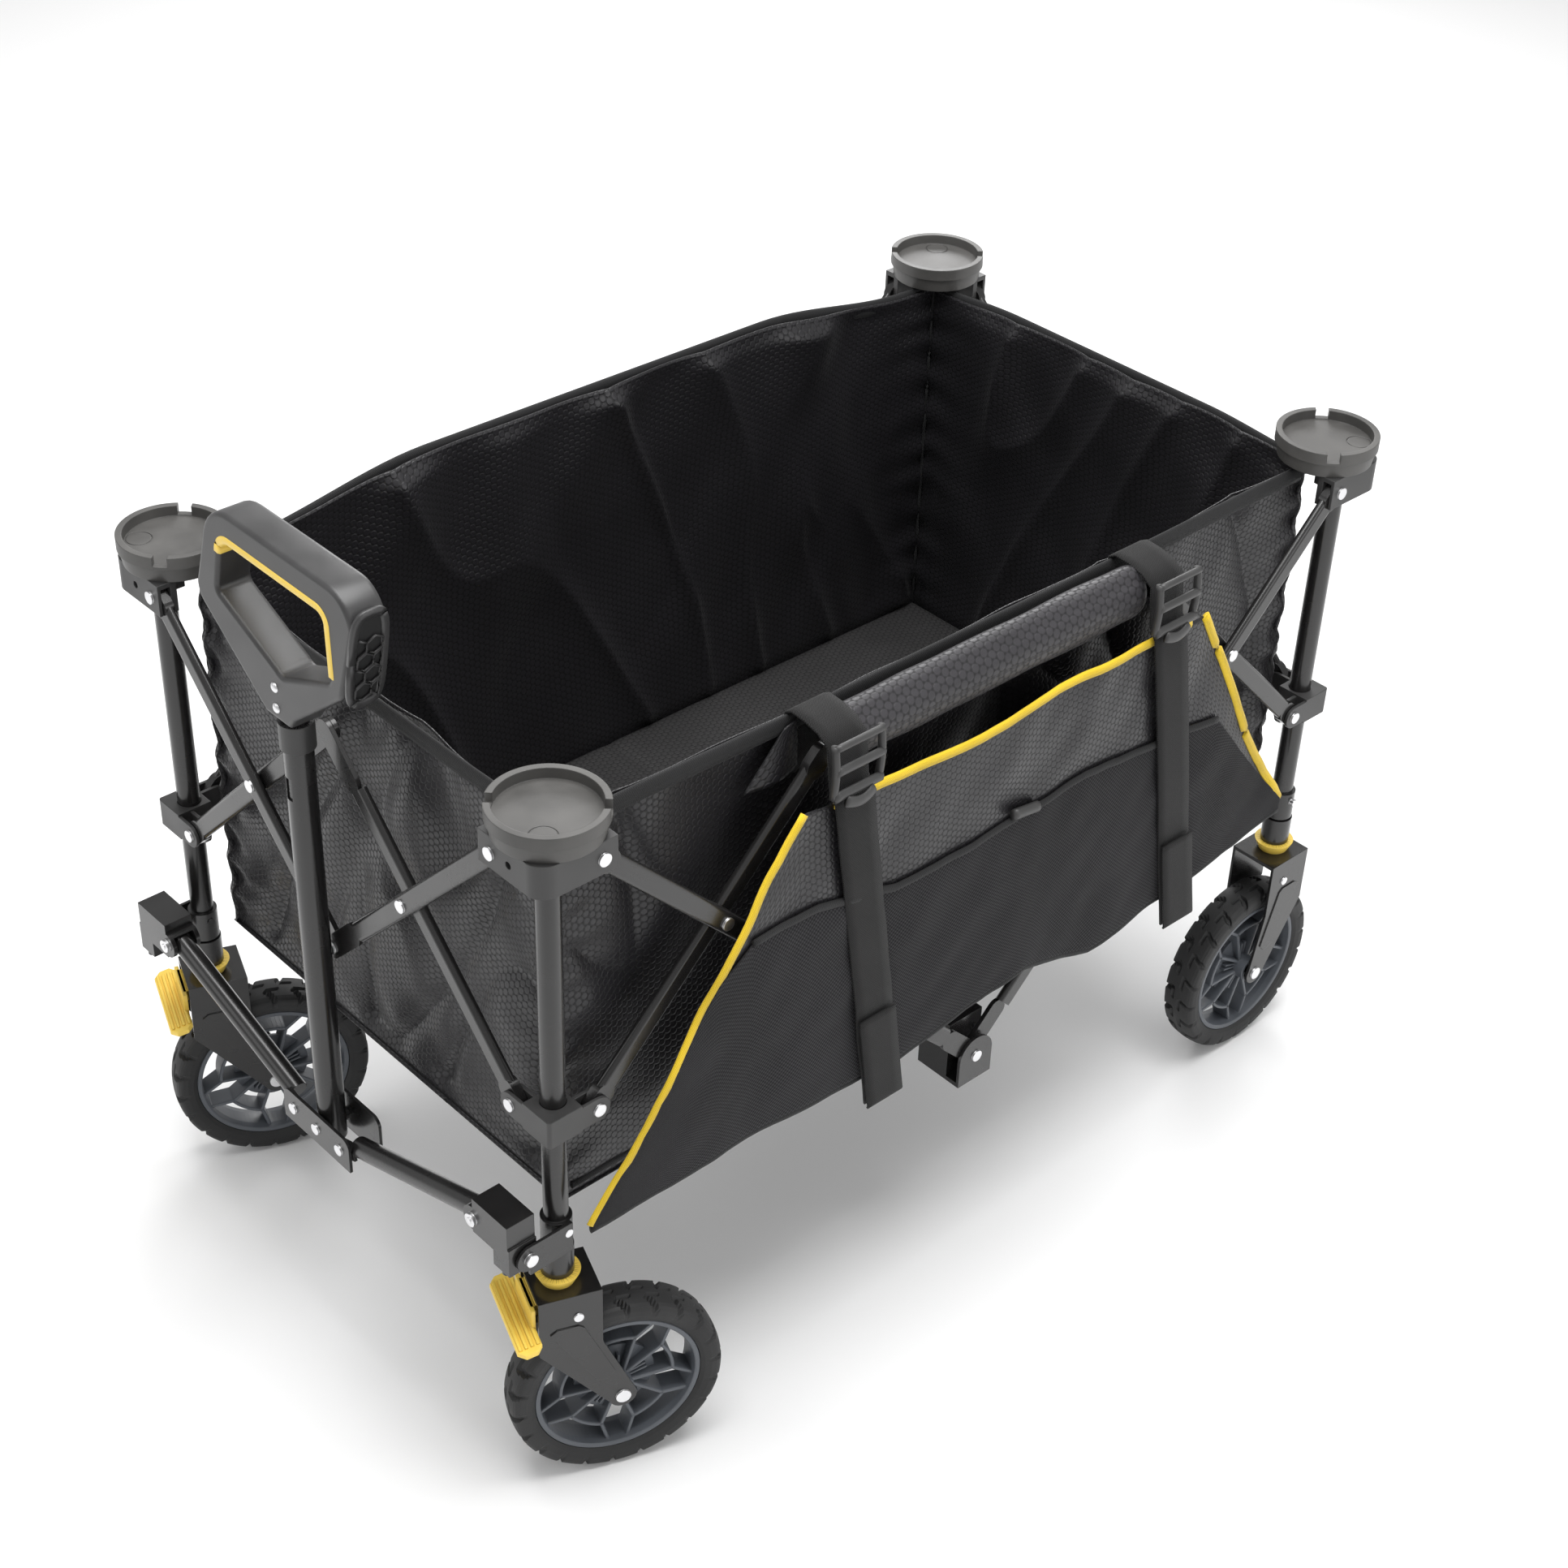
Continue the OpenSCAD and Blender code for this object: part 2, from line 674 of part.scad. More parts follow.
module end_brace_front_right() end_brace(1, -1);
module end_brace_rear_left() end_brace(-1, 1);
module end_brace_rear_right() end_brace(-1, -1);
module side_top_link_front_left() side_top_link(1, 1);
module side_top_link_front_right() side_top_link(1, -1);
module side_top_link_rear_left() side_top_link(-1, 1);
module side_top_link_rear_right() side_top_link(-1, -1);
module side_brace_front_left() side_brace(1, 1);
module side_brace_front_right() side_brace(1, -1);
module side_brace_rear_left() side_brace(-1, 1);
module side_brace_rear_right() side_brace(-1, -1);
module tyre_front_left() tyre(1, 1);
module tyre_front_right() tyre(1, -1);
module tyre_rear_left() tyre(-1, 1);
module tyre_rear_right() tyre(-1, -1);
module rim_front_left() rim(1, 1);
module rim_front_right() rim(1, -1);
module rim_rear_left() rim(-1, 1);
module rim_rear_right() rim(-1, -1);
module side_hub_left() side_hub(1);
module side_hub_right() side_hub(-1);
module caster_fork_left() fork(1, 1, trail);
module caster_fork_right() fork(1, -1, trail);
module rear_fork_left() fork(-1, 1, rear_offset);
module rear_fork_right() fork(-1, -1, rear_offset);
module brake_lever_left() brake_lever(1);
module brake_lever_right() brake_lever(-1);
module yoke_box_left() color(black) corner(1, 1) yoke_box();
module yoke_tube_left() color(black) corner(1, 1) yoke_tube();
module yoke_box_right() color(black) corner(1, -1) yoke_box();
module yoke_tube_right() color(black) corner(1, -1) yoke_tube();

basket();
floor_mat();
side_pouch();
strap_front();
strap_rear();
leg_front_left();
leg_front_right();
leg_rear_left();
leg_rear_right();
bracket_front_left();
bracket_front_right();
bracket_rear_left();
bracket_rear_right();
cup_front_left();
cup_front_right();
cup_rear_left();
cup_rear_right();
collar_front_left();
collar_front_right();
collar_rear_left();
collar_rear_right();
end_top_link_front_left();
end_top_link_front_right();
end_top_link_rear_left();
end_top_link_rear_right();
end_brace_front_left();
end_brace_front_right();
end_brace_rear_left();
end_brace_rear_right();
side_top_link_front_left();
side_top_link_front_right();
side_top_link_rear_left();
side_top_link_rear_right();
side_brace_front_left();
side_brace_front_right();
side_brace_rear_left();
side_brace_rear_right();
side_hub_left();
side_hub_right();
caster_fork_left();
caster_fork_right();
rear_fork_left();
rear_fork_right();
tyre_front_left();
tyre_front_right();
tyre_rear_left();
tyre_rear_right();
rim_front_left();
rim_front_right();
rim_rear_left();
rim_rear_right();
brake_lever_left();
brake_lever_right();
yoke_box_left();
yoke_box_right();
yoke_tube_left();
yoke_tube_right();
pull_pole();
inner_tube();
pull_grip();
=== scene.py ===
"""Folding utility wagon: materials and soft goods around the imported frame."""
import math

import bpy
from mathutils import Matrix, Vector, noise


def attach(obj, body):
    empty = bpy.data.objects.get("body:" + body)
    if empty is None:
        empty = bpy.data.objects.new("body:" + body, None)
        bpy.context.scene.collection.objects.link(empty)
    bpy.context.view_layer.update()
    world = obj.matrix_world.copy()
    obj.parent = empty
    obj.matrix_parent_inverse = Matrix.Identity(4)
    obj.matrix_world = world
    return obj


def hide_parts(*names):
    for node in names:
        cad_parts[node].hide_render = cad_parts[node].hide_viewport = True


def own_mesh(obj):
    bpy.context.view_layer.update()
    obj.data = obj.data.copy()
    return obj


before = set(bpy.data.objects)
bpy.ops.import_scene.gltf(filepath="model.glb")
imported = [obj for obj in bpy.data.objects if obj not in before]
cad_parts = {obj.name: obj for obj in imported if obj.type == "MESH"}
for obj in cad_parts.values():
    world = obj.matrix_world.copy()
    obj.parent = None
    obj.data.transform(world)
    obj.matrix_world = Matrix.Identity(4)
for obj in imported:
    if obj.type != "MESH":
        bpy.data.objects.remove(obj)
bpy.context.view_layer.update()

# All lengths are in mm unless a comment says otherwise.
MID = -14.6  # the frame's middle in Y
LEG_X, LEG_Y = 488.0, 277.0  # leg positions when open
CORNERS = {"front_left": (1, 1), "front_right": (1, -1), "rear_left": (-1, 1), "rear_right": (-1, -1)}
HEADING = math.radians(159)  # the casters trail this way
AXLE_Z = 100.0  # height of the axles, which is the tyres' radius
CASTER_TRAIL = 50.0  # from a front leg to its axle
REAR_TRAIL = 35.0  # from a rear leg to its axle
HEX = 7.0  # cell of the embossed cloth


def P(x, y, z):
    """Point in the shared frame, in metres, from millimetres about the wagon's middle."""
    return Vector((x / 1000, (y + MID) / 1000, z / 1000))


def polar(radius, degrees):
    return radius * math.cos(math.radians(degrees)), radius * math.sin(math.radians(degrees))


# ---- materials --------------------------------------------------------------

class Graph:
    """Small helper that adds and links shader nodes. A key such as i0 is an input's number."""

    SETTINGS = ("operation", "data_type", "samples")

    def __init__(self, name):
        self.mat = bpy.data.materials.new(name)
        self.mat.use_nodes = True
        self.tree = self.mat.node_tree
        self.bsdf = self.tree.nodes["Principled BSDF"]

    def add(self, kind, **inputs):
        node = self.tree.nodes.new("ShaderNode" + kind)
        for key in self.SETTINGS:
            if key in inputs:
                setattr(node, key, inputs.pop(key))
        for key, value in inputs.items():
            numbered = key[0] == "i" and key[1:].isdigit()
            self.fill(node.inputs[int(key[1:]) if numbered else key.replace("_", " ")], value)
        return node

    def fill(self, socket, value):
        """Links a socket to another one, or gives it a value of its own."""
        if isinstance(value, bpy.types.NodeSocket):
            self.tree.links.new(value, socket)
        else:
            socket.default_value = value

    def math(self, operation, a, b=0.0, c=0.0):
        return self.add("Math", operation=operation, i0=a, i1=b, i2=c).outputs[0]

    def set(self, name, value):
        self.fill(self.bsdf.inputs[name], value)


def shade(color, factor):
    return (color[0] * factor, color[1] * factor, color[2] * factor, 1.0)


def hard(name, color, rough, grain=900.0, bump=0.05, metallic=0.0, coat=0.0, edge=0.0008, vary=0.25):
    """Moulded or painted surface: fine grain, uneven gloss, slightly rounded edges."""
    g = Graph(name)
    where = g.add("TexCoord").outputs["Object"]
    fine = g.add("TexNoise", Vector=where, Scale=grain, Detail=3.0).outputs["Fac"]
    broad = g.add("TexNoise", Vector=where, Scale=22.0, Detail=4.0).outputs["Fac"]
    tone = g.add("MapRange", Value=broad, From_Min=0.3, From_Max=0.7, To_Min=0.0, To_Max=1.0).outputs[0]
    mix = g.add("Mix", data_type="RGBA", i0=tone, i6=shade(color, 1 - vary), i7=shade(color, 1 + vary))
    g.set("Base Color", mix.outputs[2])
    gloss = g.add("MapRange", Value=broad, From_Min=0.3, From_Max=0.7, To_Min=rough * 0.85, To_Max=rough * 1.2)
    g.set("Roughness", gloss.outputs[0])
    g.set("Metallic", metallic)
    g.set("Coat Weight", coat)
    g.set("Coat Roughness", 0.12)
    soft = g.add("Bevel", samples=4, Radius=edge).outputs[0]
    g.set("Normal", g.add("Bump", Strength=bump, Distance=0.0004, Height=fine, Normal=soft).outputs[0])
    return g.mat


def lattice(g, size):
    """Height of a honeycomb of cells, from 0 in the grooves to 1 on the cells. UV is in metres."""
    uv = g.add("TexCoord").outputs["UV"]
    total = None
    k = 2 * math.pi / (size / 1000 * 0.866)  # rows of a honeycomb lie 0.866 of a cell apart
    for angle in (0, 60, 120):
        a = math.radians(angle)
        turned = g.add("VectorMath", operation="DOT_PRODUCT", i0=uv, i1=(k * math.cos(a), k * math.sin(a), 0))
        wave = g.math("COSINE", turned.outputs["Value"])
        total = wave if total is None else g.math("ADD", total, wave)
    return g.add("MapRange", Value=total, From_Min=-1.4, From_Max=-0.4, To_Min=0.0, To_Max=1.0).outputs[0]


def weave(g, along, across):
    """Height of crossing threads, with their pitch in mm. UV is in metres."""
    uv = g.add("SeparateXYZ", Vector=g.add("TexCoord").outputs["UV"])
    a = g.math("SINE", g.math("MULTIPLY", uv.outputs[0], 2000 * math.pi / along))
    b = g.math("SINE", g.math("MULTIPLY", uv.outputs[1], 2000 * math.pi / across))
    return g.math("MULTIPLY_ADD", g.math("MULTIPLY", a, b), 0.5, 0.5)


def cloth(name, color, pattern, rough=0.6, depth=0.0004, lift=1.8, sheen=0.03, strength=0.6, shine=0.35):
    """Woven cloth: its pattern gives gloss, bump, painted shade in the grooves and painted light on the raised parts.
    """
    g = Graph(name)
    height = pattern(g)
    where = g.add("TexCoord").outputs["Object"]
    broad = g.add("TexNoise", Vector=where, Scale=9.0, Detail=5.0).outputs["Fac"]
    fine = g.add("TexNoise", Vector=where, Scale=1500.0, Detail=2.0).outputs["Fac"]
    # painted shade in the grooves (0.55 of the colour) and painted light on the raised parts (lift times the colour)
    mix = g.add("Mix", data_type="RGBA", i0=height, i6=shade(color, 0.55), i7=shade(color, lift))
    tone = g.add("MapRange", Value=broad, From_Min=0.3, From_Max=0.7, To_Min=0.8, To_Max=1.2).outputs[0]
    toned = g.add("VectorMath", operation="SCALE", i0=mix.outputs[2])
    g.tree.links.new(tone, toned.inputs["Scale"])
    g.set("Base Color", toned.outputs[0])
    gloss = g.add("MapRange", Value=height, From_Min=0.0, From_Max=1.0, To_Min=min(1.0, rough + 0.25), To_Max=rough)
    g.set("Roughness", gloss.outputs[0])
    g.set("Specular IOR Level", shine)
    g.set("Sheen Weight", sheen)
    g.set("Sheen Roughness", 0.4)
    both = g.math("MULTIPLY_ADD", fine, 0.25, height)
    g.set("Normal", g.add("Bump", Strength=strength, Distance=depth, Height=both).outputs[0])
    return g.mat


BLACK = hard("powder_coat", (0.011, 0.0105, 0.0105), 0.25, grain=700, bump=0.05, coat=0.2, vary=0.15)
PLASTIC = hard("dark_plastic", (0.036, 0.0355, 0.0355), 0.42, grain=1400, bump=0.12, edge=0.0012)
GRIP = hard("grip_plastic", (0.034, 0.0335, 0.034), 0.36, grain=1600, bump=0.15, edge=0.002)
# Near-black material for the sheet in the grip's open end: painted shade of its hollow.
RECESS_SHADE = hard("painted_recess_shade", (0.004, 0.004, 0.0042), 0.6, grain=900)
# The cups get a lighter copy of the dark plastic: painted light on their up-facing tray floors.
TRAY_PAINTED_LIGHT = hard("tray_plastic_painted_light", (0.066, 0.064, 0.061), 0.45, grain=1400, bump=0.12, edge=0.0015)
YELLOW = hard("yellow_plastic", (0.88, 0.62, 0.10), 0.38, grain=900, bump=0.05, edge=0.0012, vary=0.05)
RIM = hard("rim_plastic", (0.082, 0.09, 0.103), 0.42, grain=1200, bump=0.1, edge=0.001, vary=0.12)
ZINC = hard("zinc_rivet", (0.75, 0.75, 0.76), 0.32, grain=500, bump=0.08, metallic=1.0, edge=0.0012, vary=0.08)
RUBBER = hard("tyre_rubber", (0.011, 0.011, 0.0113), 0.62, grain=600, bump=0.35, edge=0.0006, vary=0.3)
# lift: how much painted light the raised cells or threads of each cloth get
RIPSTOP = cloth("ripstop", (0.0072, 0.0068, 0.0078), lambda g: lattice(g, HEX), rough=0.30, lift=2.0, strength=0.75,
                shine=0.42)
ROLL_CLOTH = cloth("roll_cloth", (0.019, 0.018, 0.020), lambda g: lattice(g, 9.0), rough=0.4, lift=1.7)
MAT_CLOTH = cloth("mat_cloth", (0.0175, 0.017, 0.0172), lambda g: lattice(g, HEX), rough=0.45, lift=1.8)
WEBBING = cloth("webbing", (0.0055, 0.0053, 0.0054), lambda g: weave(g, 2.4, 1.6), rough=0.65, sheen=0.06, depth=0.0008)
BINDING = cloth("hem_binding", (0.010, 0.010, 0.0105), lambda g: weave(g, 1.8, 3.6), rough=0.6, sheen=0.06)
NET = cloth("net", (0.0075, 0.0072, 0.0082), lambda g: weave(g, 4.4, 4.4), rough=0.75, lift=2.8, depth=0.001,
            strength=0.9)
GOLD = cloth("yellow_binding", (0.80, 0.55, 0.02), lambda g: weave(g, 1.6, 1.6), rough=0.6, lift=1.15, sheen=0.2)


# ---- mesh helpers -----------------------------------------------------------

def make(name, verts, faces, mats, uvs=None, smooth=True):
    """Mesh object from points in the shared frame; uvs has one pair per vertex."""
    mesh = bpy.data.meshes.new(name)
    mesh.from_pydata([tuple(v) for v in verts], [], faces)
    for m in mats:
        mesh.materials.append(m)
    if uvs is not None:
        layer = mesh.uv_layers.new(name="UVMap")
        for loop in mesh.loops:
            layer.data[loop.index].uv = uvs[loop.vertex_index]
    for p in mesh.polygons:
        p.use_smooth = smooth
    mesh.validate()
    obj = bpy.data.objects.new(name, mesh)
    bpy.context.collection.objects.link(obj)
    return obj


def thicken(obj, thick):
    """Gives a sheet its thickness in mm, half of it on each side."""
    m = obj.modifiers.new("SOLIDIFY", "SOLIDIFY")
    m.thickness, m.offset = thick / 1000, 0
    graph = bpy.context.evaluated_depsgraph_get()
    mesh = bpy.data.meshes.new_from_object(obj.evaluated_get(graph), depsgraph=graph)
    obj.modifiers.clear()
    obj.data = mesh
    return obj


def grid(name, nu, nv, place, size, mats, thick=1.4):
    """Cloth grid. place(u, v) gives mm about the frame's middle, size its width and height in mm."""
    verts, uvs, faces = [], [], []
    for j in range(nv + 1):
        for i in range(nu + 1):
            u, v = i / nu, j / nv
            verts.append(P(*place(u, v)))
            uvs.append((u * size[0] / 1000, v * size[1] / 1000))
    for j in range(nv):
        for i in range(nu):
            a = j * (nu + 1) + i
            faces.append((a, a + 1, a + nu + 2, a + nu + 1))
    obj = make(name, verts, faces, mats, uvs)
    return thicken(obj, thick)


def sweep(name, path, section, side, mats):
    """Sweeps a closed section of (out, up) points along a path, capped at both ends. side is the out direction."""
    n, verts, uvs, faces, run = len(section), [], [], [], 0.0
    pts = [P(*p) for p in path]
    for i, p in enumerate(pts):
        ahead = pts[min(i + 1, len(pts) - 1)] - pts[max(i - 1, 0)]
        ahead.normalize()
        out = Vector(side)
        out = (out - ahead * out.dot(ahead)).normalized()
        up = ahead.cross(out).normalized()
        if up.z < -0.5 or (abs(up.z) <= 0.5 and up.x + up.y < 0):
            up = -up
        if i:
            run += (pts[i] - pts[i - 1]).length
        girth = 0.0
        for k, (o, z) in enumerate(section):
            verts.append(p + (out * o + up * z) / 1000)
            if k:
                girth += math.dist(section[k], section[k - 1]) / 1000
            uvs.append((run, girth))
    for i in range(len(pts) - 1):
        for k in range(n):
            a, b = i * n + k, i * n + (k + 1) % n
            faces.append((a, b, b + n, a + n))
    faces.append(tuple(range(n - 1, -1, -1)))
    faces.append(tuple((len(pts) - 1) * n + k for k in range(n)))
    return make(name, verts, faces, mats, uvs)


def oval(rx, ry, n=12):
    return [(rx * math.cos(2 * math.pi * k / n), ry * math.sin(2 * math.pi * k / n)) for k in range(n)]


def ripple(a, b, seed):
    """Smooth unevenness between about -1 and 1."""
    return noise.noise(Vector((a, b, seed * 7.31)))


def clamp(x, low=0.0, high=1.0):
    return max(low, min(high, x))


def ease(x):
    x = clamp(x)
    return x * x * (3 - 2 * x)


def table_value(points, x):
    """Straight-line value between (x, value) pairs sorted by x."""
    if x <= points[0][0]:
        return points[0][1]
    for (x0, y0), (x1, y1) in zip(points, points[1:]):
        if x <= x1:
            return y0 + (y1 - y0) * (x - x0) / (x1 - x0)
    return points[-1][1]


# ---- how cloth folds with the frame ----------------------------------------

def fold_long(obj, side):
    """A piece on a long side follows its front leg."""
    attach(obj, "leg_front_left" if side > 0 else "leg_front_right")
    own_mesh(obj)


def fold_end(obj, end):
    """A piece on an end face follows its left leg."""
    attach(obj, "leg_front_left" if end > 0 else "leg_rear_left")
    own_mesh(obj)


# ---- basket -----------------------------------------------------------------

BX, BY, FLOOR = 466.0, 258.0, 302.0  # half length, half width and floor height
WALL_HEIGHT, END_HEIGHT = 400, 402  # flat heights of the long and the end walls
MAT_HALF = 462


def long_hem(side, x):
    """Height of the hem on a long side: a slight dip on the near side, a rise on the far side."""
    if side > 0:
        return 703 - 3 * (1 - ease((abs(x) - 180) / 240))
    return 706 + 27 * (1 - ease((abs(x) - 210) / 215))


def end_hem(end, y):
    """Height of the hem on an end face."""
    across = 1 - abs(y) / BY
    return 704 + (7 if end < 0 else -3) * ease(across * 2)


def folds(s, h, seed, length):
    """Wrinkles of a hanging wall: s in mm along it, h from 0 at the floor to 1 at the hem."""
    near = min(s, length - s)
    seam = math.exp(-near / 26.0)
    gather = seam * 3.4 * math.sin(h * 62 + 2.5 * ripple(s * 0.02, h * 6, seed))
    hang = 11.0 * ripple(s * 0.011 + 0.35 * h, h * 1.1, seed) * (0.35 + 0.65 * h)
    cross = 7.0 * ripple((s + 260 * h) * 0.014, (h * 300 - 0.5 * s) * 0.006, seed + 3)
    sharp = 10.0 * (1 - abs(2 * ripple((s - 150 * h) * 0.009, h * 0.9, seed + 9))) ** 4
    edge = ease(near / 40) * ease(h / 0.06) * (0.35 + 0.65 * ease((1 - h) / 0.05))
    return (hang + cross + sharp) * edge + gather * ease(h / 0.08) * ease((1 - h) / 0.08)


def long_wall(side):
    name = "near" if side > 0 else "far"

    def place(u, v):
        x = -BX + 2 * BX * u
        inwards = folds(x + BX, v, 2 if side > 0 else 5, 2 * BX)
        bow = 5 * math.sin(math.pi * u) * math.sin(math.pi * v)
        depth = max(0.0, 7 + inwards - bow)
        return x, side * (BY + 2 - depth * (0.8 if side > 0 else 1.0)), FLOOR + (long_hem(side, x) - FLOOR) * v

    wall = grid("wall_" + name, 220, 110, place, (2 * BX, WALL_HEIGHT), [RIPSTOP])
    path = [(-BX + 12 + (2 * BX - 24) * i / 60, side * (BY + 1), 0) for i in range(61)]
    path = [(x, y, long_hem(side, x) - 5) for x, y, z in path]
    hem = sweep("hem_" + name, path, oval(3.0, 9.0, 14), (0, side, 0), [BINDING])
    seam = sweep("welt_" + name, [(x, y - side * 3.5, FLOOR + 10) for x, y, z in path[::3]],
                 oval(2.2, 3.4), (0, side, 0), [BINDING])
    for piece in (wall, hem, seam):
        fold_long(piece, side)
    return wall


def end_wall(end):
    name = "front" if end > 0 else "rear"

    def place(u, v):
        y = -BY + 2 * BY * u
        inwards = folds(y + BY, v, 11 if end > 0 else 14, 2 * BY)
        depth = max(0.0, 6 + inwards - 4 * math.sin(math.pi * u) * math.sin(math.pi * v))
        return end * (BX + 2 - depth), y, FLOOR + (end_hem(end, y) - FLOOR) * v

    wall = grid("wall_" + name, 130, 110, place, (2 * BY, END_HEIGHT), [RIPSTOP])
    path = [(end * (BX + 1), -BY + 12 + (2 * BY - 24) * i / 40, 0) for i in range(41)]
    path = [(x, y, end_hem(end, y) - 5) for x, y, z in path]
    hem = sweep("hem_" + name, path, oval(3.0, 9.0, 14), (end, 0, 0), [BINDING])
    for piece in (wall, hem):
        fold_end(piece, end)
    return wall


def corner_seam(corner):
    """Bound seam up an inside corner of the basket, gathered by its stitching."""
    sx, sy = CORNERS[corner]
    path = []
    for i in range(81):
        h = i / 80
        wobble = 1.6 * math.sin(h * 70) + 2.0 * ripple(h * 5, 0, sx * 3 + sy)
        path.append((sx * (BX - 5 + 0.4 * wobble), sy * (BY - 5 + 0.4 * wobble), FLOOR + 4 + h * 396))
    seam = sweep("seam_" + corner, path, oval(4.2, 1.6, 10), (sx, sy, 0), [BINDING])
    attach(seam, "leg_" + corner)


def floor_panels():
    """Bottom cloth and padded mat in three lengthwise panels, so that they fold with the frame."""
    for name, low, high, body, lift in (("left", 90, 254, "leg_front_left", 0.6), ("middle", -88, 88, "bed", 0.0),
                                        ("right", -254, -90, "leg_front_right", 1.2)):
        def under(u, v):
            return -BX + 2 * BX * u, low - 3 + (high - low + 6) * v, 301.2 + 0.3 * lift

        base = grid("bottom_" + name, 40, 8, under, (2 * BX, high - low + 6), [RIPSTOP], thick=1.0)

        def top(u, v):
            x, y = -MAT_HALF + 2 * MAT_HALF * u, low + (high - low) * v
            inset = min(min(u, 1 - u) * 2 * MAT_HALF, min(v, 1 - v) * (high - low))
            crease = 2.2 * math.exp(-abs(abs(x) - 1) / 5)
            puff = 6.5 * (1 - math.exp(-inset / 4.0)) - crease + 0.8 * ripple(x * 0.012, y * 0.012, 4)
            return x, y, 303.3 + lift * 0.4 + max(0.3, puff + 1.2)

        mat = grid("mat_" + name, 150, 28, top, (2 * MAT_HALF, high - low), [MAT_CLOTH], thick=1.2)
        for piece in (base, mat):
            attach(piece, body)
            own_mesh(piece)
        if name == "middle":
            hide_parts("floor_mat")


walls = [long_wall(1), long_wall(-1), end_wall(1), end_wall(-1)]
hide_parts("basket")
for corner in CORNERS:
    corner_seam(corner)
floor_panels()

# ---- side pouch -------------------------------------------------------------

POUCH_Y = 312.0  # how far out the pouch's flat cloth hangs
POUCH_START, POUCH_LENGTH = -429, 907
# Outlines as (x, z), from the rear end to the front end.
POUCH_TOP = [(-430, 350), (-345, 470), (-285, 590), (-255, 640), (-234, 640), (-80, 637), (60, 630), (216, 640),
             (250, 645), (300, 585), (360, 500), (420, 400), (479, 323)]
POUCH_LOW = [(-430, 335), (-300, 318), (-143, 300), (-48, 328), (118, 304), (286, 318), (479, 318)]
NET_TOP = [(-430, 350), (-340, 452), (-290, 512), (-200, 520), (-105, 528), (-18, 524), (44, 519), (142, 520),
           (236, 545), (310, 545), (345, 520), (420, 400), (479, 323)]


def pouch_out(x, z):
    """How far the pouch stands out at a place on it, in mm."""
    belly = 6 * math.sin(math.pi * clamp((z - 300) / 360)) * ease((480 - abs(x - 20)) / 200)
    wrinkle = 4.0 * ripple(x * 0.012, z * 0.008, 21) + 2.5 * ripple((x + z) * 0.02, (x - z) * 0.012, 22)
    return POUCH_Y + belly + wrinkle * ease((480 - abs(x - 20)) / 80)


def pouch_sheet(name, top, low, out, mat, height):
    """Sheet of the pouch between two outlines, out in front of it, with its texture's height."""
    def place(u, v):
        x = POUCH_START + POUCH_LENGTH * u
        z0, z1 = table_value(low, x), max(table_value(top, x), table_value(low, x) + 1.0)
        z = z0 + (z1 - z0) * v
        return x, pouch_out(x, z) + out, z

    return grid(name, 180, 60, place, (POUCH_LENGTH, height), [mat], thick=1.0)


pouch = pouch_sheet("pouch", POUCH_TOP, POUCH_LOW, 0.0, RIPSTOP, 330)
net = pouch_sheet("pouch_net", NET_TOP, [(x, z + 3) for x, z in POUCH_LOW], 2.6, NET, 220)


def edge_path(points, out):
    """Points along a broken line of (x, z) on the pouch, with small waves."""
    path, step = [], 8.0
    for (x0, z0), (x1, z1) in zip(points, points[1:]):
        count = max(1, int(math.dist((x0, z0), (x1, z1)) / step))
        for i in range(count):
            t = i / count
            x, z = x0 + (x1 - x0) * t, z0 + (z1 - z0) * t
            path.append((x, pouch_out(x, z) + out + 0.8 * ripple(x * 0.05, z * 0.05, 31), z))
    x, z = points[-1]
    path.append((x, pouch_out(x, z) + out, z))
    return path


trims = []
for name, points, mat, width, out in (
        ("trim_left", POUCH_TOP[8:], GOLD, 5.0, 0.8),
        ("trim_top", POUCH_TOP[4:8], GOLD, 5.0, 0.8),
        ("trim_right", POUCH_TOP[:4], GOLD, 5.0, 0.8),
        ("trim_low", POUCH_LOW, BINDING, 4.0, 0.8),
        ("trim_net", NET_TOP[2:10], BINDING, 4.0, 3.0)):
    trims.append(sweep(name, edge_path(points, out), oval(2.4, width, 10), (0, 1, 0), [mat]))


def toggle():
    """Cord lock at the middle of the net pocket."""
    y = pouch_out(-18, 528) + 7
    return sweep("toggle", [(-34 + 4 * i, y, 528 + 0.6 * i) for i in range(9)],
                 oval(4.5, 5.5, 14), (0, 1, 0), [PLASTIC])


knob = toggle()
for piece in [pouch, net, knob, *trims]:
    fold_long(piece, 1)
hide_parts("side_pouch")


def roll():
    """Padded sleeve round the hem between the two straps, drawn in at its ends."""
    half, (mid_y, mid_z), (deep, tall) = 194, (283, 680), (20, 27)
    count, turns, verts, uvs, faces = 96, 40, [], [], []
    for i in range(count + 1):
        x = -half + 2 * half * i / count
        end = 0.35 + 0.65 * math.sqrt(ease((half - abs(x)) / 16))
        for k in range(turns):
            a = 2 * math.pi * k / turns
            wave = 1 + 0.06 * ripple(x * 0.018, math.sin(a) + 1.3 * math.cos(a), 41)
            pinch = 1 - 0.10 * math.exp(-((math.sin(a) - 0.75) / 0.12) ** 2) * (math.cos(a) > 0)
            r = end * wave * pinch
            verts.append(P(x, mid_y + deep * r * math.cos(a), mid_z + tall * r * math.sin(a)))
            uvs.append((x / 1000, k / turns * 0.15))
    for i in range(count):
        for k in range(turns):
            a, b = i * turns + k, i * turns + (k + 1) % turns
            faces.append((a, b, b + turns, a + turns))
    faces.append(tuple(range(turns)))
    faces.append(tuple(count * turns + k for k in range(turns - 1, -1, -1)))
    obj = make("roll", verts, faces, [ROLL_CLOTH], uvs)
    fold_long(obj, 1)


roll()


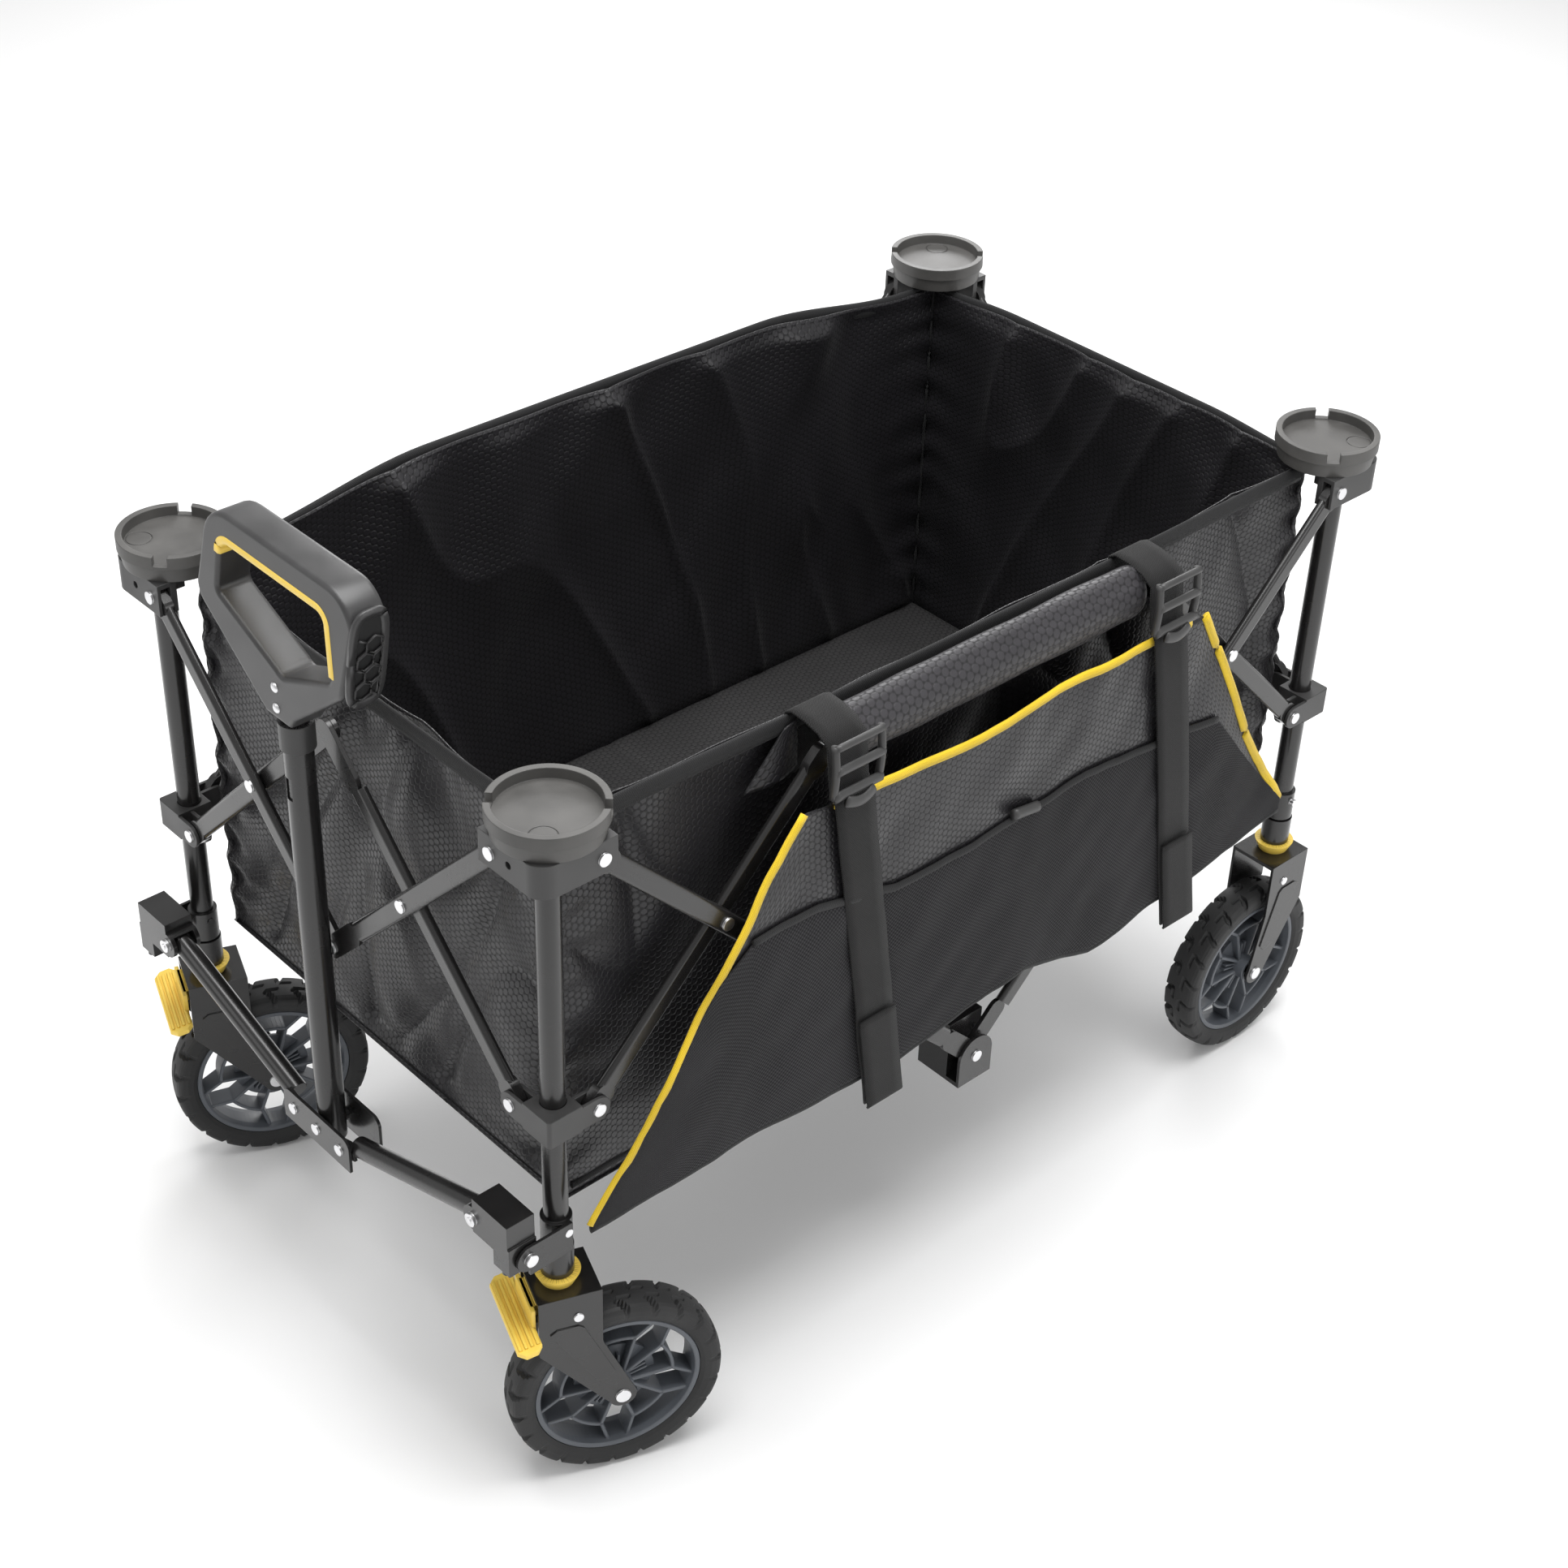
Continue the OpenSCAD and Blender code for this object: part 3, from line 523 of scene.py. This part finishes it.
def flap(end):
    """Reinforcing gusset under the hem beside a strap, over the side brace's upper end."""
    def place(u, v):
        x = 214 + 14 * u + 46 * u * v
        return end * x, 263.5 + 7 * math.sin(math.pi * u) * v + 1.5 * v, 699 - 46 * v - 4 * u

    obj = grid("gusset_" + ("front" if end > 0 else "rear"), 14, 14, place, (46, 46), [RIPSTOP], thick=1.4)
    fold_long(obj, 1)


flap(1)
flap(-1)


# ---- straps -----------------------------------------------------------------

STRAP_X, STRAP_WIDTH = 200, 44
STRAP_TOP, STRAP_DROP = 652, 374  # height under the buckle, and how far the strap hangs below it


def ribbon(name, path, body):
    """Flat webbing along a path of (x, y, z), its width along X."""
    run, verts, uvs, faces = 0.0, [], [], []
    for i, p in enumerate(path):
        if i:
            run += math.dist(p, path[i - 1])
        for k in range(5):
            t = k / 4 - 0.5
            verts.append(P(p[0] + t * STRAP_WIDTH, p[1], p[2]))
            uvs.append((run / 1000, t * STRAP_WIDTH / 1000))
    for i in range(len(path) - 1):
        for k in range(4):
            a = i * 5 + k
            faces.append((a, a + 1, a + 6, a + 5))
    obj = thicken(make(name, verts, faces, [WEBBING], uvs), 2.0)
    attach(obj, body)
    return obj


def strap(end, x, shift):
    """Webbing over the hem and down the pouch, drifting by shift, and the loose layer over its lower end."""
    body = "strap_" + end
    path = [(x, 256, 640), (x, 255, 690), (x, 257, 705), (x, 264, 709), (x, 280, 708), (x, 297, 704)]
    path += [(x, 309 + i, 696 - 8 * i) for i in range(6)]
    count = 44
    for i in range(1, count + 1):
        t = i / count
        px, pz = x + shift * t ** 1.15, STRAP_TOP - STRAP_DROP * t
        py = 321 + 3 * math.sin(t * 4.2) + 1.5 * ripple(t * 7, x, 51)
        path.append((px, py, pz))
    obj = ribbon("webbing_" + end, path, body)
    tail = [(x + shift * t ** 1.15, 325.5 + 2.6 * math.sin(t * 4.2), STRAP_TOP - STRAP_DROP * t)
            for t in [0.70 + 0.3 * i / 14 for i in range(15)]]
    tail.append((tail[-1][0], 322.5, tail[-1][2] - 2.5))
    loop = ribbon("loop_" + end, tail, body)
    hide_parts(body)


def buckle(end, x):
    """Ladder-lock buckle: rounded frame, two bars, and a lip at its lower edge."""
    def bar(name, points, rx, ry):
        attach(sweep(name, points, oval(rx, ry), (0, 1, 0), [PLASTIC]), "strap_" + end)

    for s in (-1, 1):
        side = [(x + s * 26, 322 + 2.5 * math.sin(math.pi * i / 10), 706 - 5.2 * i) for i in range(11)]
        bar(f"buckle_{end}_side_{'a' if s < 0 else 'b'}", side, 4.0, 3.2)
    for k, (z, y, ry) in enumerate(((704, 324, 3.5), (682, 326, 4.5), (656, 325, 5.0))):
        bar(f"buckle_{end}_bar_{k}", [(x - 27 + 5.4 * i, y, z) for i in range(11)], 3.2, ry)
    lip = [(x - 16 + 3.2 * i, 328 + 2 * math.sin(math.pi * i / 10), 650 - 4 * math.sin(math.pi * i / 10))
           for i in range(11)]
    bar(f"buckle_{end}_lip", lip, 2.2, 5.5)


strap("front", STRAP_X, -60)
strap("rear", -STRAP_X, -72)
buckle("front", STRAP_X)
buckle("rear", -STRAP_X)


# ---- wheels -----------------------------------------------------------------

TREAD_BLOCKS = 22


def wheel_frame(corner):
    """Matrix from wheel space (z along the axle, mm) to the shared frame."""
    sx, sy = CORNERS[corner]
    turn, trail = (HEADING, CASTER_TRAIL) if sx > 0 else (0.0, REAR_TRAIL)
    x, y = sx * LEG_X + trail * math.cos(turn), sy * LEG_Y + trail * math.sin(turn)
    return (Matrix.Translation(P(x, y, AXLE_Z)) @ Matrix.Rotation(turn, 4, "Z")
            @ Matrix.Rotation(math.pi / 2, 4, "X") @ Matrix.Scale(0.001, 4))


def tyre_mesh():
    """Points of a tyre with blocks on both shoulders and a zigzag groove round its middle."""
    section = [(78.3, -15), (82, -17.5), (88, -19), (93, -18.8), (95, -18.2), (97.2, -16.5), (98.6, -13.5),
               (99.3, -10), (99.7, -7), (99.9, -4.5), (100, -2), (100, 0)]
    section += [(r, -z) for r, z in section[-2::-1]]
    turns, verts, faces, uvs = 288, [], [], []
    for i in range(turns):
        a = 2 * math.pi * i / turns
        for k, (r, z) in enumerate(section):
            phase = (i / turns * TREAD_BLOCKS + (0.5 if z > 0 else 0) + abs(z) * 0.02) % 1.0
            depth = 0.0
            if abs(z) > 5 and r > 87.5 and phase < 0.17:
                depth = 3.6 if r > 92 else 1.6
            zig = 4.0 * (1 if (i / turns * TREAD_BLOCKS) % 1.0 < 0.5 else -1)
            if abs(z - zig) < 1.6 and r > 98:
                depth = 2.6
            verts.append(((r - depth) * math.cos(a), (r - depth) * math.sin(a),
                          z * (1 - 0.03 * (depth > 0 and abs(z) > 15))))
            uvs.append((i / turns * 0.63, k * 0.004))
    n = len(section)
    for i in range(turns):
        for k in range(n):
            a, b = i * n + k, i * n + (k + 1) % n
            c, d = ((i + 1) % turns) * n + (k + 1) % n, ((i + 1) % turns) * n + k
            faces.append((a, d, c, b))
    return verts, faces, uvs


TYRE = tyre_mesh()
for corner in CORNERS:
    placed = wheel_frame(corner)
    tyre = make("tread_" + corner, [placed @ Vector(v) for v in TYRE[0]], TYRE[1], [RUBBER], TYRE[2], smooth=False)
    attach(tyre, "wheel_" + corner)
    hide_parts("tyre_" + corner)


def solid(verts, faces, loops):
    """Adds a closed skin between loops of points, each with the same count, capped at both ends."""
    n, start = len(loops[0]), len(verts)
    for loop in loops:
        verts.extend(loop)
    for j in range(len(loops) - 1):
        for k in range(n):
            a, b = start + j * n + k, start + j * n + (k + 1) % n
            faces.append((a, b, b + n, a + n))
    faces.append(tuple(start + k for k in range(n - 1, -1, -1)))
    faces.append(tuple(start + (len(loops) - 1) * n + k for k in range(n)))


def wheel_rib(verts, faces, a, b, half, wide):
    """Straight rib in wheel space from (radius, degrees) a to b, with slightly narrowed edges."""
    (x0, y0), (x1, y1) = polar(*a), polar(*b)
    length = math.dist((x0, y0), (x1, y1))
    nx, ny = -(y1 - y0) / length * wide / 2, (x1 - x0) / length * wide / 2
    loops = []
    for z, k in ((-half, 0.7), (-half + 1, 1.0), (half - 1, 1.0), (half, 0.7)):
        loops.append([(x0 + nx * k, y0 + ny * k, z), (x0 - nx * k, y0 - ny * k, z),
                      (x1 - nx * k, y1 - ny * k, z), (x1 + nx * k, y1 + ny * k, z)])
    solid(verts, faces, loops)


def wheel_ring(verts, faces, section, count=96):
    """Ring in wheel space from a closed section of (radius, z)."""
    n, start = len(section), len(verts)
    for i in range(count):
        a = 2 * math.pi * i / count
        verts.extend((r * math.cos(a), r * math.sin(a), z) for r, z in section)
    for i in range(count):
        for k in range(n):
            a, b = start + i * n + k, start + i * n + (k + 1) % n
            c, d = start + ((i + 1) % count) * n + (k + 1) % n, start + ((i + 1) % count) * n + k
            faces.append((a, d, c, b))


def rim_mesh():
    """Moulded rim: lipped ring, hub socket, and five pairs of ribs joined by arcs."""
    verts, faces = [], []
    wheel_ring(verts, faces, [(73, -14.5), (74, -15.3), (77.5, -15.3), (78, -14.5), (78, 14.5), (77.5, 15.3),
                              (74, 15.3), (73, 14.5), (72, 8), (72, -8)])
    wheel_ring(verts, faces, [(9.5, -20), (10, -20.5), (13, -20.5), (13.5, -20), (13.5, 20), (13, 20.5),
                              (10, 20.5), (9.5, 20)], 48)
    wheel_ring(verts, faces, [(5.2, -12), (10, -12), (10, 12), (5.2, 12)], 48)
    for i in range(8):
        wheel_rib(verts, faces, (5.3, 45 * i), (11, 45 * i), 18, 1.6)
    fork, spread, half, wide = 53, 19, 11, 3.6  # where a pair meets its arc, half its angle, and the ribs' size
    for i in range(5):
        mid = 72 * i + 18
        for s in (-1, 1):
            wheel_rib(verts, faces, (12, mid + 30 * s), (fork, mid + spread * s), half, wide)
            wheel_rib(verts, faces, (fork - 0.5, mid + spread * s), (74, mid + 29 * s), half, wide)
            wheel_rib(verts, faces, (12, mid + 9 * s), (30, mid + 5 * s), 8, 2.4)
        for k in range(8):
            ends = [(fork, mid - spread + 2 * spread * j / 8) for j in (k, k + 1)]
            wheel_rib(verts, faces, *ends, half, wide)
    wheel_ring(verts, faces, [(12, -3.5), (38, -1.5), (38, 1.5), (12, 3.5)])
    return verts, faces


RIM_MESH = rim_mesh()
for corner in CORNERS:
    placed = wheel_frame(corner)
    rim = make("rim_web_" + corner, [placed @ Vector(v) for v in RIM_MESH[0]], RIM_MESH[1], [RIM], smooth=False)
    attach(rim, "wheel_" + corner)
    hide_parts("rim_" + corner)


# ---- brake pedals -----------------------------------------------------------

PEDAL_X, PEDAL_SLOPE = -28, 0.2  # the foot bar's inner edge, and how it falls away from it


def block(verts, faces, x, y, z, slope=0.0):
    """Closed box in the fork's frame from (low, high) pairs; slope lowers it outwards."""
    plan = ((x[0], y[0]), (x[1], y[0]), (x[1], y[1]), (x[0], y[1]))
    solid(verts, faces, [[(px, py, pz + slope * (px - PEDAL_X)) for px, py in plan] for pz in z])


def pedal(side, sy):
    """Ribbed foot bar across the fork, with its back wall and the barrel on the cross pin."""
    verts, faces = [], []
    plan = [(-28, -44), (-33, -50), (-44, -50), (-50, -43), (-50, 43), (-44, 50), (-33, 50), (-28, 44)]
    solid(verts, faces, [[(x + (1 if x < -39 else -1) * k, y * (1 - 0.01 * k), z + PEDAL_SLOPE * (x - PEDAL_X))
                          for x, y in plan] for z, k in ((205.5, 1), (206.5, 0), (210, 0), (211, 1))])
    for x in (-47, -41.7, -36.4, -31.1):
        block(verts, faces, (x - 1.3, x + 1.3), (-43, 43), (210, 212.4), PEDAL_SLOPE)
    block(verts, faces, (-31.5, -27.6), (-24, 24), (206, 231))
    block(verts, faces, (-30, -21), (-18, 18), (220, 231))
    barrel = [(x - 21, z + 226) for x, z in oval(7, 7, 24)]
    solid(verts, faces, [[(x, y, z) for x, z in barrel] for y in (-18, 18)])
    placed = (Matrix.Translation(P(LEG_X, sy * LEG_Y, 0)) @ Matrix.Rotation(HEADING, 4, "Z")
              @ Matrix.Scale(0.001, 4))
    obj = make("pedal_" + side, [placed @ Vector(v) for v in verts], faces, [YELLOW], smooth=False)
    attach(obj, "brake_lever_" + side)
    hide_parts("brake_lever_" + side)


pedal("left", 1)
pedal("right", -1)


# ---- grip -------------------------------------------------------------------

POLE_X = 43.0  # how far the pole stands in front of the front legs
GRIP_X = LEG_X + POLE_X
GRIP_END = 0.2  # slope of the grip's open end


def arc(cy, cz, r, a0, a1, n=8):
    """Points round (cy, cz) from angle a0 to a1 in degrees."""
    return [(cy + y, cz + z) for y, z in (polar(r, a0 + (a1 - a0) * i / n) for i in range(n + 1))]


def plate(name, loops, half, bevel, mat):
    """Bevelled plate across the wagon from closed (y, z) outlines, the first outside and the rest holes."""
    curve = bpy.data.curves.new(name, "CURVE")
    curve.dimensions, curve.fill_mode = "2D", "BOTH"
    curve.extrude, curve.bevel_depth, curve.bevel_resolution = (half - bevel) / 1000, bevel / 1000, 4
    curve.offset = -bevel / 1000
    for loop in loops:
        spline = curve.splines.new("POLY")
        spline.points.add(len(loop) - 1)
        for point, (y, z) in zip(spline.points, loop):
            point.co = (y / 1000, z / 1000, 0, 1)
        spline.use_cyclic_u = True
    shape = bpy.data.objects.new(name + "_outline", curve)
    bpy.context.collection.objects.link(shape)
    graph = bpy.context.evaluated_depsgraph_get()
    mesh = bpy.data.meshes.new_from_object(shape.evaluated_get(graph), depsgraph=graph)
    bpy.data.objects.remove(shape)
    mesh.transform(Matrix(((0, 0, 1, GRIP_X / 1000), (1, 0, 0, MID / 1000), (0, 1, 0, 0), (0, 0, 0, 1))))
    mesh.materials.clear()
    mesh.materials.append(mat)
    obj = bpy.data.objects.new(name, mesh)
    bpy.context.collection.objects.link(obj)
    return obj


def grip():
    """D-shaped grip with a yellow lining round the finger hole and an open, ribbed end."""
    outer = [(-17, 704), (17, 704), (24, 714)] + arc(84, 782, 16, -50, -15) + arc(88, 841, 32, 5, 90)
    outer += arc(-48, 828, 45, 90, 170) + arc(-86, 786, 22, 175, 230)
    hole = arc(14, 768, 16, -130, -90) + arc(70, 790, 14, -50, 0) + arc(70, 833, 13, 10, 90)
    hole += arc(-50, 829, 18, 90, 175) + arc(-68, 796, 8, 180, 232)
    body = plate("grip_body", [outer, hole], 17, 4.0, GRIP)
    middle, sunk = (2, 812), 2.4  # the finger hole's middle, and how deep the lining sits in the grip
    lining = [(y, z) for y, z in hole if z > 818 or (y > 40 and z > 788)]
    lining = [(y + sunk * (y - middle[0]) / math.dist((y, z), middle),
               z + sunk * (z - middle[1]) / math.dist((y, z), middle)) for y, z in lining]
    section = [(-17.7, -2.6), (-16, -4.6), (16, -4.6), (17.7, -2.6), (17.7, 2.6), (16, 4.6), (-16, 4.6),
               (-17.7, 2.6)]
    band = sweep("grip_lining", [(GRIP_X, y, z) for y, z in lining], section, (1, 0, 0), [YELLOW])
    path = []
    for i in range(41):
        a = 2 * math.pi * i / 40
        z = 813 + 45 * math.copysign(abs(math.sin(a)) ** 0.5, math.sin(a))
        x = GRIP_X + 15 * math.copysign(abs(math.cos(a)) ** 0.5, math.cos(a))
        path.append((x, 104.5 + (z - 768) * GRIP_END, z))
    ring = sweep("grip_end_rim", path, [(-1.6, -3), (1.6, -3), (1.6, 4), (-1.6, 4)], (0, 1, 0), [GRIP])
    # Near-black sheet just inside the open end: painted shade where the grip is hollow.
    floor_pts = [P(x, y + 0.8, z) for x, y, z in path[:-1]]
    shade_sheet = make("grip_end_shade_sheet", floor_pts, [tuple(range(len(floor_pts)))], [RECESS_SHADE], smooth=False)
    pieces = [body, band, ring, shade_sheet]
    for row in range(4):
        for side in (-1, 1):
            z = 782 + row * 15
            x = GRIP_X + 7.5 * side + (3.5 if row % 2 else -3.5)
            cell = [(x + dx, z + dz) for dx, dz in (polar(8.6, 60 * k + 30) for k in range(7))]
            cell = [(px, 105.6 + (pz - 768) * GRIP_END, pz) for px, pz in cell if abs(px - GRIP_X) < 14.6]
            if len(cell) > 2:
                pieces.append(sweep(f"grip_rib_{row}_{'a' if side < 0 else 'b'}", cell,
                                    [(-1.0, -0.6), (2.2, -0.6), (2.2, 0.6), (-1.0, 0.6)], (0, 1, 0), [GRIP]))
    for z in (716, 736):
        dome = sweep(f"grip_rivet_{z}", [(GRIP_X + 16.5 + d, 0, z) for d in (0, 1.4, 2.2, 2.6)],
                     oval(1, 1, 20), (0, 1, 0), [ZINC])
        for v in dome.data.vertices:
            d = v.co - P(GRIP_X, 0, z)
            k = math.sqrt(max(0.03, 1 - ((d.x * 1000 - 16.5) / 2.75) ** 2)) * 5.2
            v.co = P(GRIP_X, 0, z) + Vector((d.x, d.y * k, d.z * k))
        pieces.append(dome)
    for piece in pieces:
        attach(piece, "grip")
    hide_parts("pull_grip")


grip()


# ---- CAD nodes: materials and rivet heads -----------------------------------

NODE_MATERIALS = {"tyre": RUBBER, "rim": RIM, "brake": YELLOW, "pull_grip": GRIP, "cup": TRAY_PAINTED_LIGHT, "bracket": PLASTIC,
                  "collar": PLASTIC}


def base_material(node):
    """Material of a CAD node by the start of its name; the steel frame is black."""
    return next((mat for start, mat in NODE_MATERIALS.items() if node.startswith(start)), BLACK)


def paint(node, mat, chosen):
    """Gives another material to the faces whose middle, in mm about the wagon's middle, passes the test."""
    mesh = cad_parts[node].data
    if mat.name not in [m.name for m in mesh.materials]:
        mesh.materials.append(mat)
    slot = [m.name for m in mesh.materials].index(mat.name)
    for p in mesh.polygons:
        c = p.center * 1000
        if chosen(Vector((c.x, c.y - MID, c.z))):
            p.material_index = slot


def head(node, centre, axis, radius=6.0):
    """Paints the rivet head that stands on centre along axis in bare zinc."""
    centre, axis = Vector(centre), Vector(axis).normalized()

    def chosen(c):
        d = c - centre
        along = d.dot(axis)
        return along > -0.1 and (d - axis * along).length < radius + 0.4

    paint(node, ZINC, chosen)


for node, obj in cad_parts.items():
    obj.data.materials.clear()
    obj.data.materials.append(base_material(node))
    for p in obj.data.polygons:
        p.material_index = 0

for corner, (sx, sy) in CORNERS.items():
    lx, ly = sx * LEG_X, sy * LEG_Y
    hand = "left" if sy > 0 else "right"
    head("bracket_" + corner, (lx - sx * 32, ly + sy * 31.1, 695), (0, sy, 0))
    head("bracket_" + corner, (lx + sx * 31.1, ly - sy * 32, 695), (sx, 0, 0))
    head("collar_" + corner, (lx - sx * 32, ly + sy * 21.1, 430), (0, sy, 0))
    head("collar_" + corner, (lx + sx * 21.1, ly - sy * 32, 430), (sx, 0, 0))
    head("side_top_link_" + corner, (lx - sx * 164.5, ly + sy * 27.6, 562.5), (0, sy, 0))
    head("end_top_link_" + corner, (lx + sx * 27.6, ly - sy * 164.5, 562.5), (sx, 0, 0))
    if sy > 0:
        head("end_top_link_" + corner, (lx + sx * 27.6, 0, 450), (sx, 0, 0))
    head("leg_" + corner, (lx, ly + sy * 14.2, 306), (0, sy, 0), 4)
    if sx > 0:
        head("leg_" + corner, (lx + 42, ly + sy * 18.1, 303), (0, sy, 0), 6)
        head("yoke_box_" + hand, (lx + 61.1, ly - sy * 36, 322), (1, 0, 0), 7)
    fork, turn, trail = (("caster_fork_", HEADING, CASTER_TRAIL) if sx > 0 else ("rear_fork_", 0.0, REAR_TRAIL))
    fork += hand
    placed = Matrix.Translation((lx, ly, 0)) @ Matrix.Rotation(turn, 4, "Z")
    for s in (-1, 1):
        axis = placed.to_3x3() @ Vector((0, s, 0))
        head(fork, placed @ Vector((trail, s * 27.6, AXLE_Z)), axis, 7)
        head(fork, placed @ Vector((10, s * 27.6, 214)), axis, 4.5)
    # the bush between the fork's crown and the leg
    paint(fork, YELLOW, lambda c, x=lx, y=ly: 240.4 < c.z < 251.5 and 13 < math.hypot(c.x - x, c.y - y) < 22)
for side, sy in (("left", 1), ("right", -1)):
    head("side_hub_" + side, (0, sy * (LEG_Y + 31.2), 239), (0, sy, 0))
for y in (-36.6, 0, 36.6):
    head("pull_pole", (LEG_X + 60.6, y, 255), (1, 0, 0), 5.5)
# the pole's top collar
paint("pull_pole", PLASTIC, lambda c: 671.9 < c.z < 698.1 and math.hypot(c.x - GRIP_X, c.y) > 13.5)


# ---- camera, floor and light ------------------------------------------------

def camera():
    """At the photograph's viewing angle. Angles in radians, place in metres."""
    yaw, pitch, roll, place = -2.331, 0.6146, 0.0373, Vector((1.4825, 1.57, 1.9243))
    ahead = Vector((math.cos(pitch) * math.cos(yaw), math.cos(pitch) * math.sin(yaw), -math.sin(pitch)))
    right = ahead.cross(Vector((0, 0, 1))).normalized()
    up = right.cross(ahead)
    right, up = right * math.cos(roll) + up * math.sin(roll), up * math.cos(roll) - right * math.sin(roll)
    data = bpy.data.cameras.new("camera")
    data.sensor_width, data.lens = 36.0, 61.0118
    data.clip_start, data.clip_end = 0.05, 50
    obj = bpy.data.objects.new("camera", data)
    obj.matrix_world = Matrix([(right[i], up[i], -ahead[i], place[i]) for i in range(3)] + [(0, 0, 0, 1)])
    bpy.context.collection.objects.link(obj)
    bpy.context.scene.camera = obj


def floor():
    """Pale studio floor, just under the wheels."""
    g = Graph("floor_paint")
    where = g.add("TexCoord").outputs["Object"]
    cloud = g.add("TexNoise", Vector=where, Scale=0.6, Detail=2.0).outputs["Fac"]
    mix = g.add("Mix", data_type="RGBA", i0=cloud, i6=(0.86, 0.86, 0.86, 1), i7=(0.90, 0.90, 0.90, 1))
    g.set("Base Color", mix.outputs[2])
    g.set("Roughness", 0.85)
    half, below = 14.0, -0.0005  # metres
    corners = [(x * half, y * half, below) for x, y in ((-1, -1), (1, -1), (1, 1), (-1, 1))]
    make("studio_floor", corners, [(0, 1, 2, 3)], [g.mat], smooth=False)


def area(name, place, target, size, power):
    """Soft light at place, facing target. Metres and watts."""
    light = bpy.data.lights.new(name, "AREA")
    light.shape, light.size, light.size_y = "RECTANGLE", size[0], size[1]
    light.energy = power
    obj = bpy.data.objects.new(name, light)
    obj.location = place
    obj.rotation_euler = (Vector(target) - Vector(place)).to_track_quat("-Z", "Y").to_euler()
    bpy.context.collection.objects.link(obj)


def studio():
    """Even white surroundings and four soft lights."""
    world = bpy.data.worlds.new("studio")
    bpy.context.scene.world = world
    world.use_nodes = True
    background = world.node_tree.nodes["Background"]
    background.inputs["Color"].default_value = (1, 1, 1, 1)
    background.inputs["Strength"].default_value = 0.58
    area("overhead", (0.1, 0.2, 3.2), (0, 0, 0.3), (2.6, 2.2), 125)
    area("key", (3.0, -1.6, 2.0), (0, 0, 0.4), (1.6, 1.6), 10)
    area("side", (-0.6, 3.2, 1.6), (0, 0, 0.4), (2.2, 1.4), 20)
    area("back", (-2.6, -2.6, 2.2), (0, 0, 0.4), (1.8, 1.4), 50)


camera()
floor()
studio()
bpy.context.scene.view_settings.view_transform = "Standard"
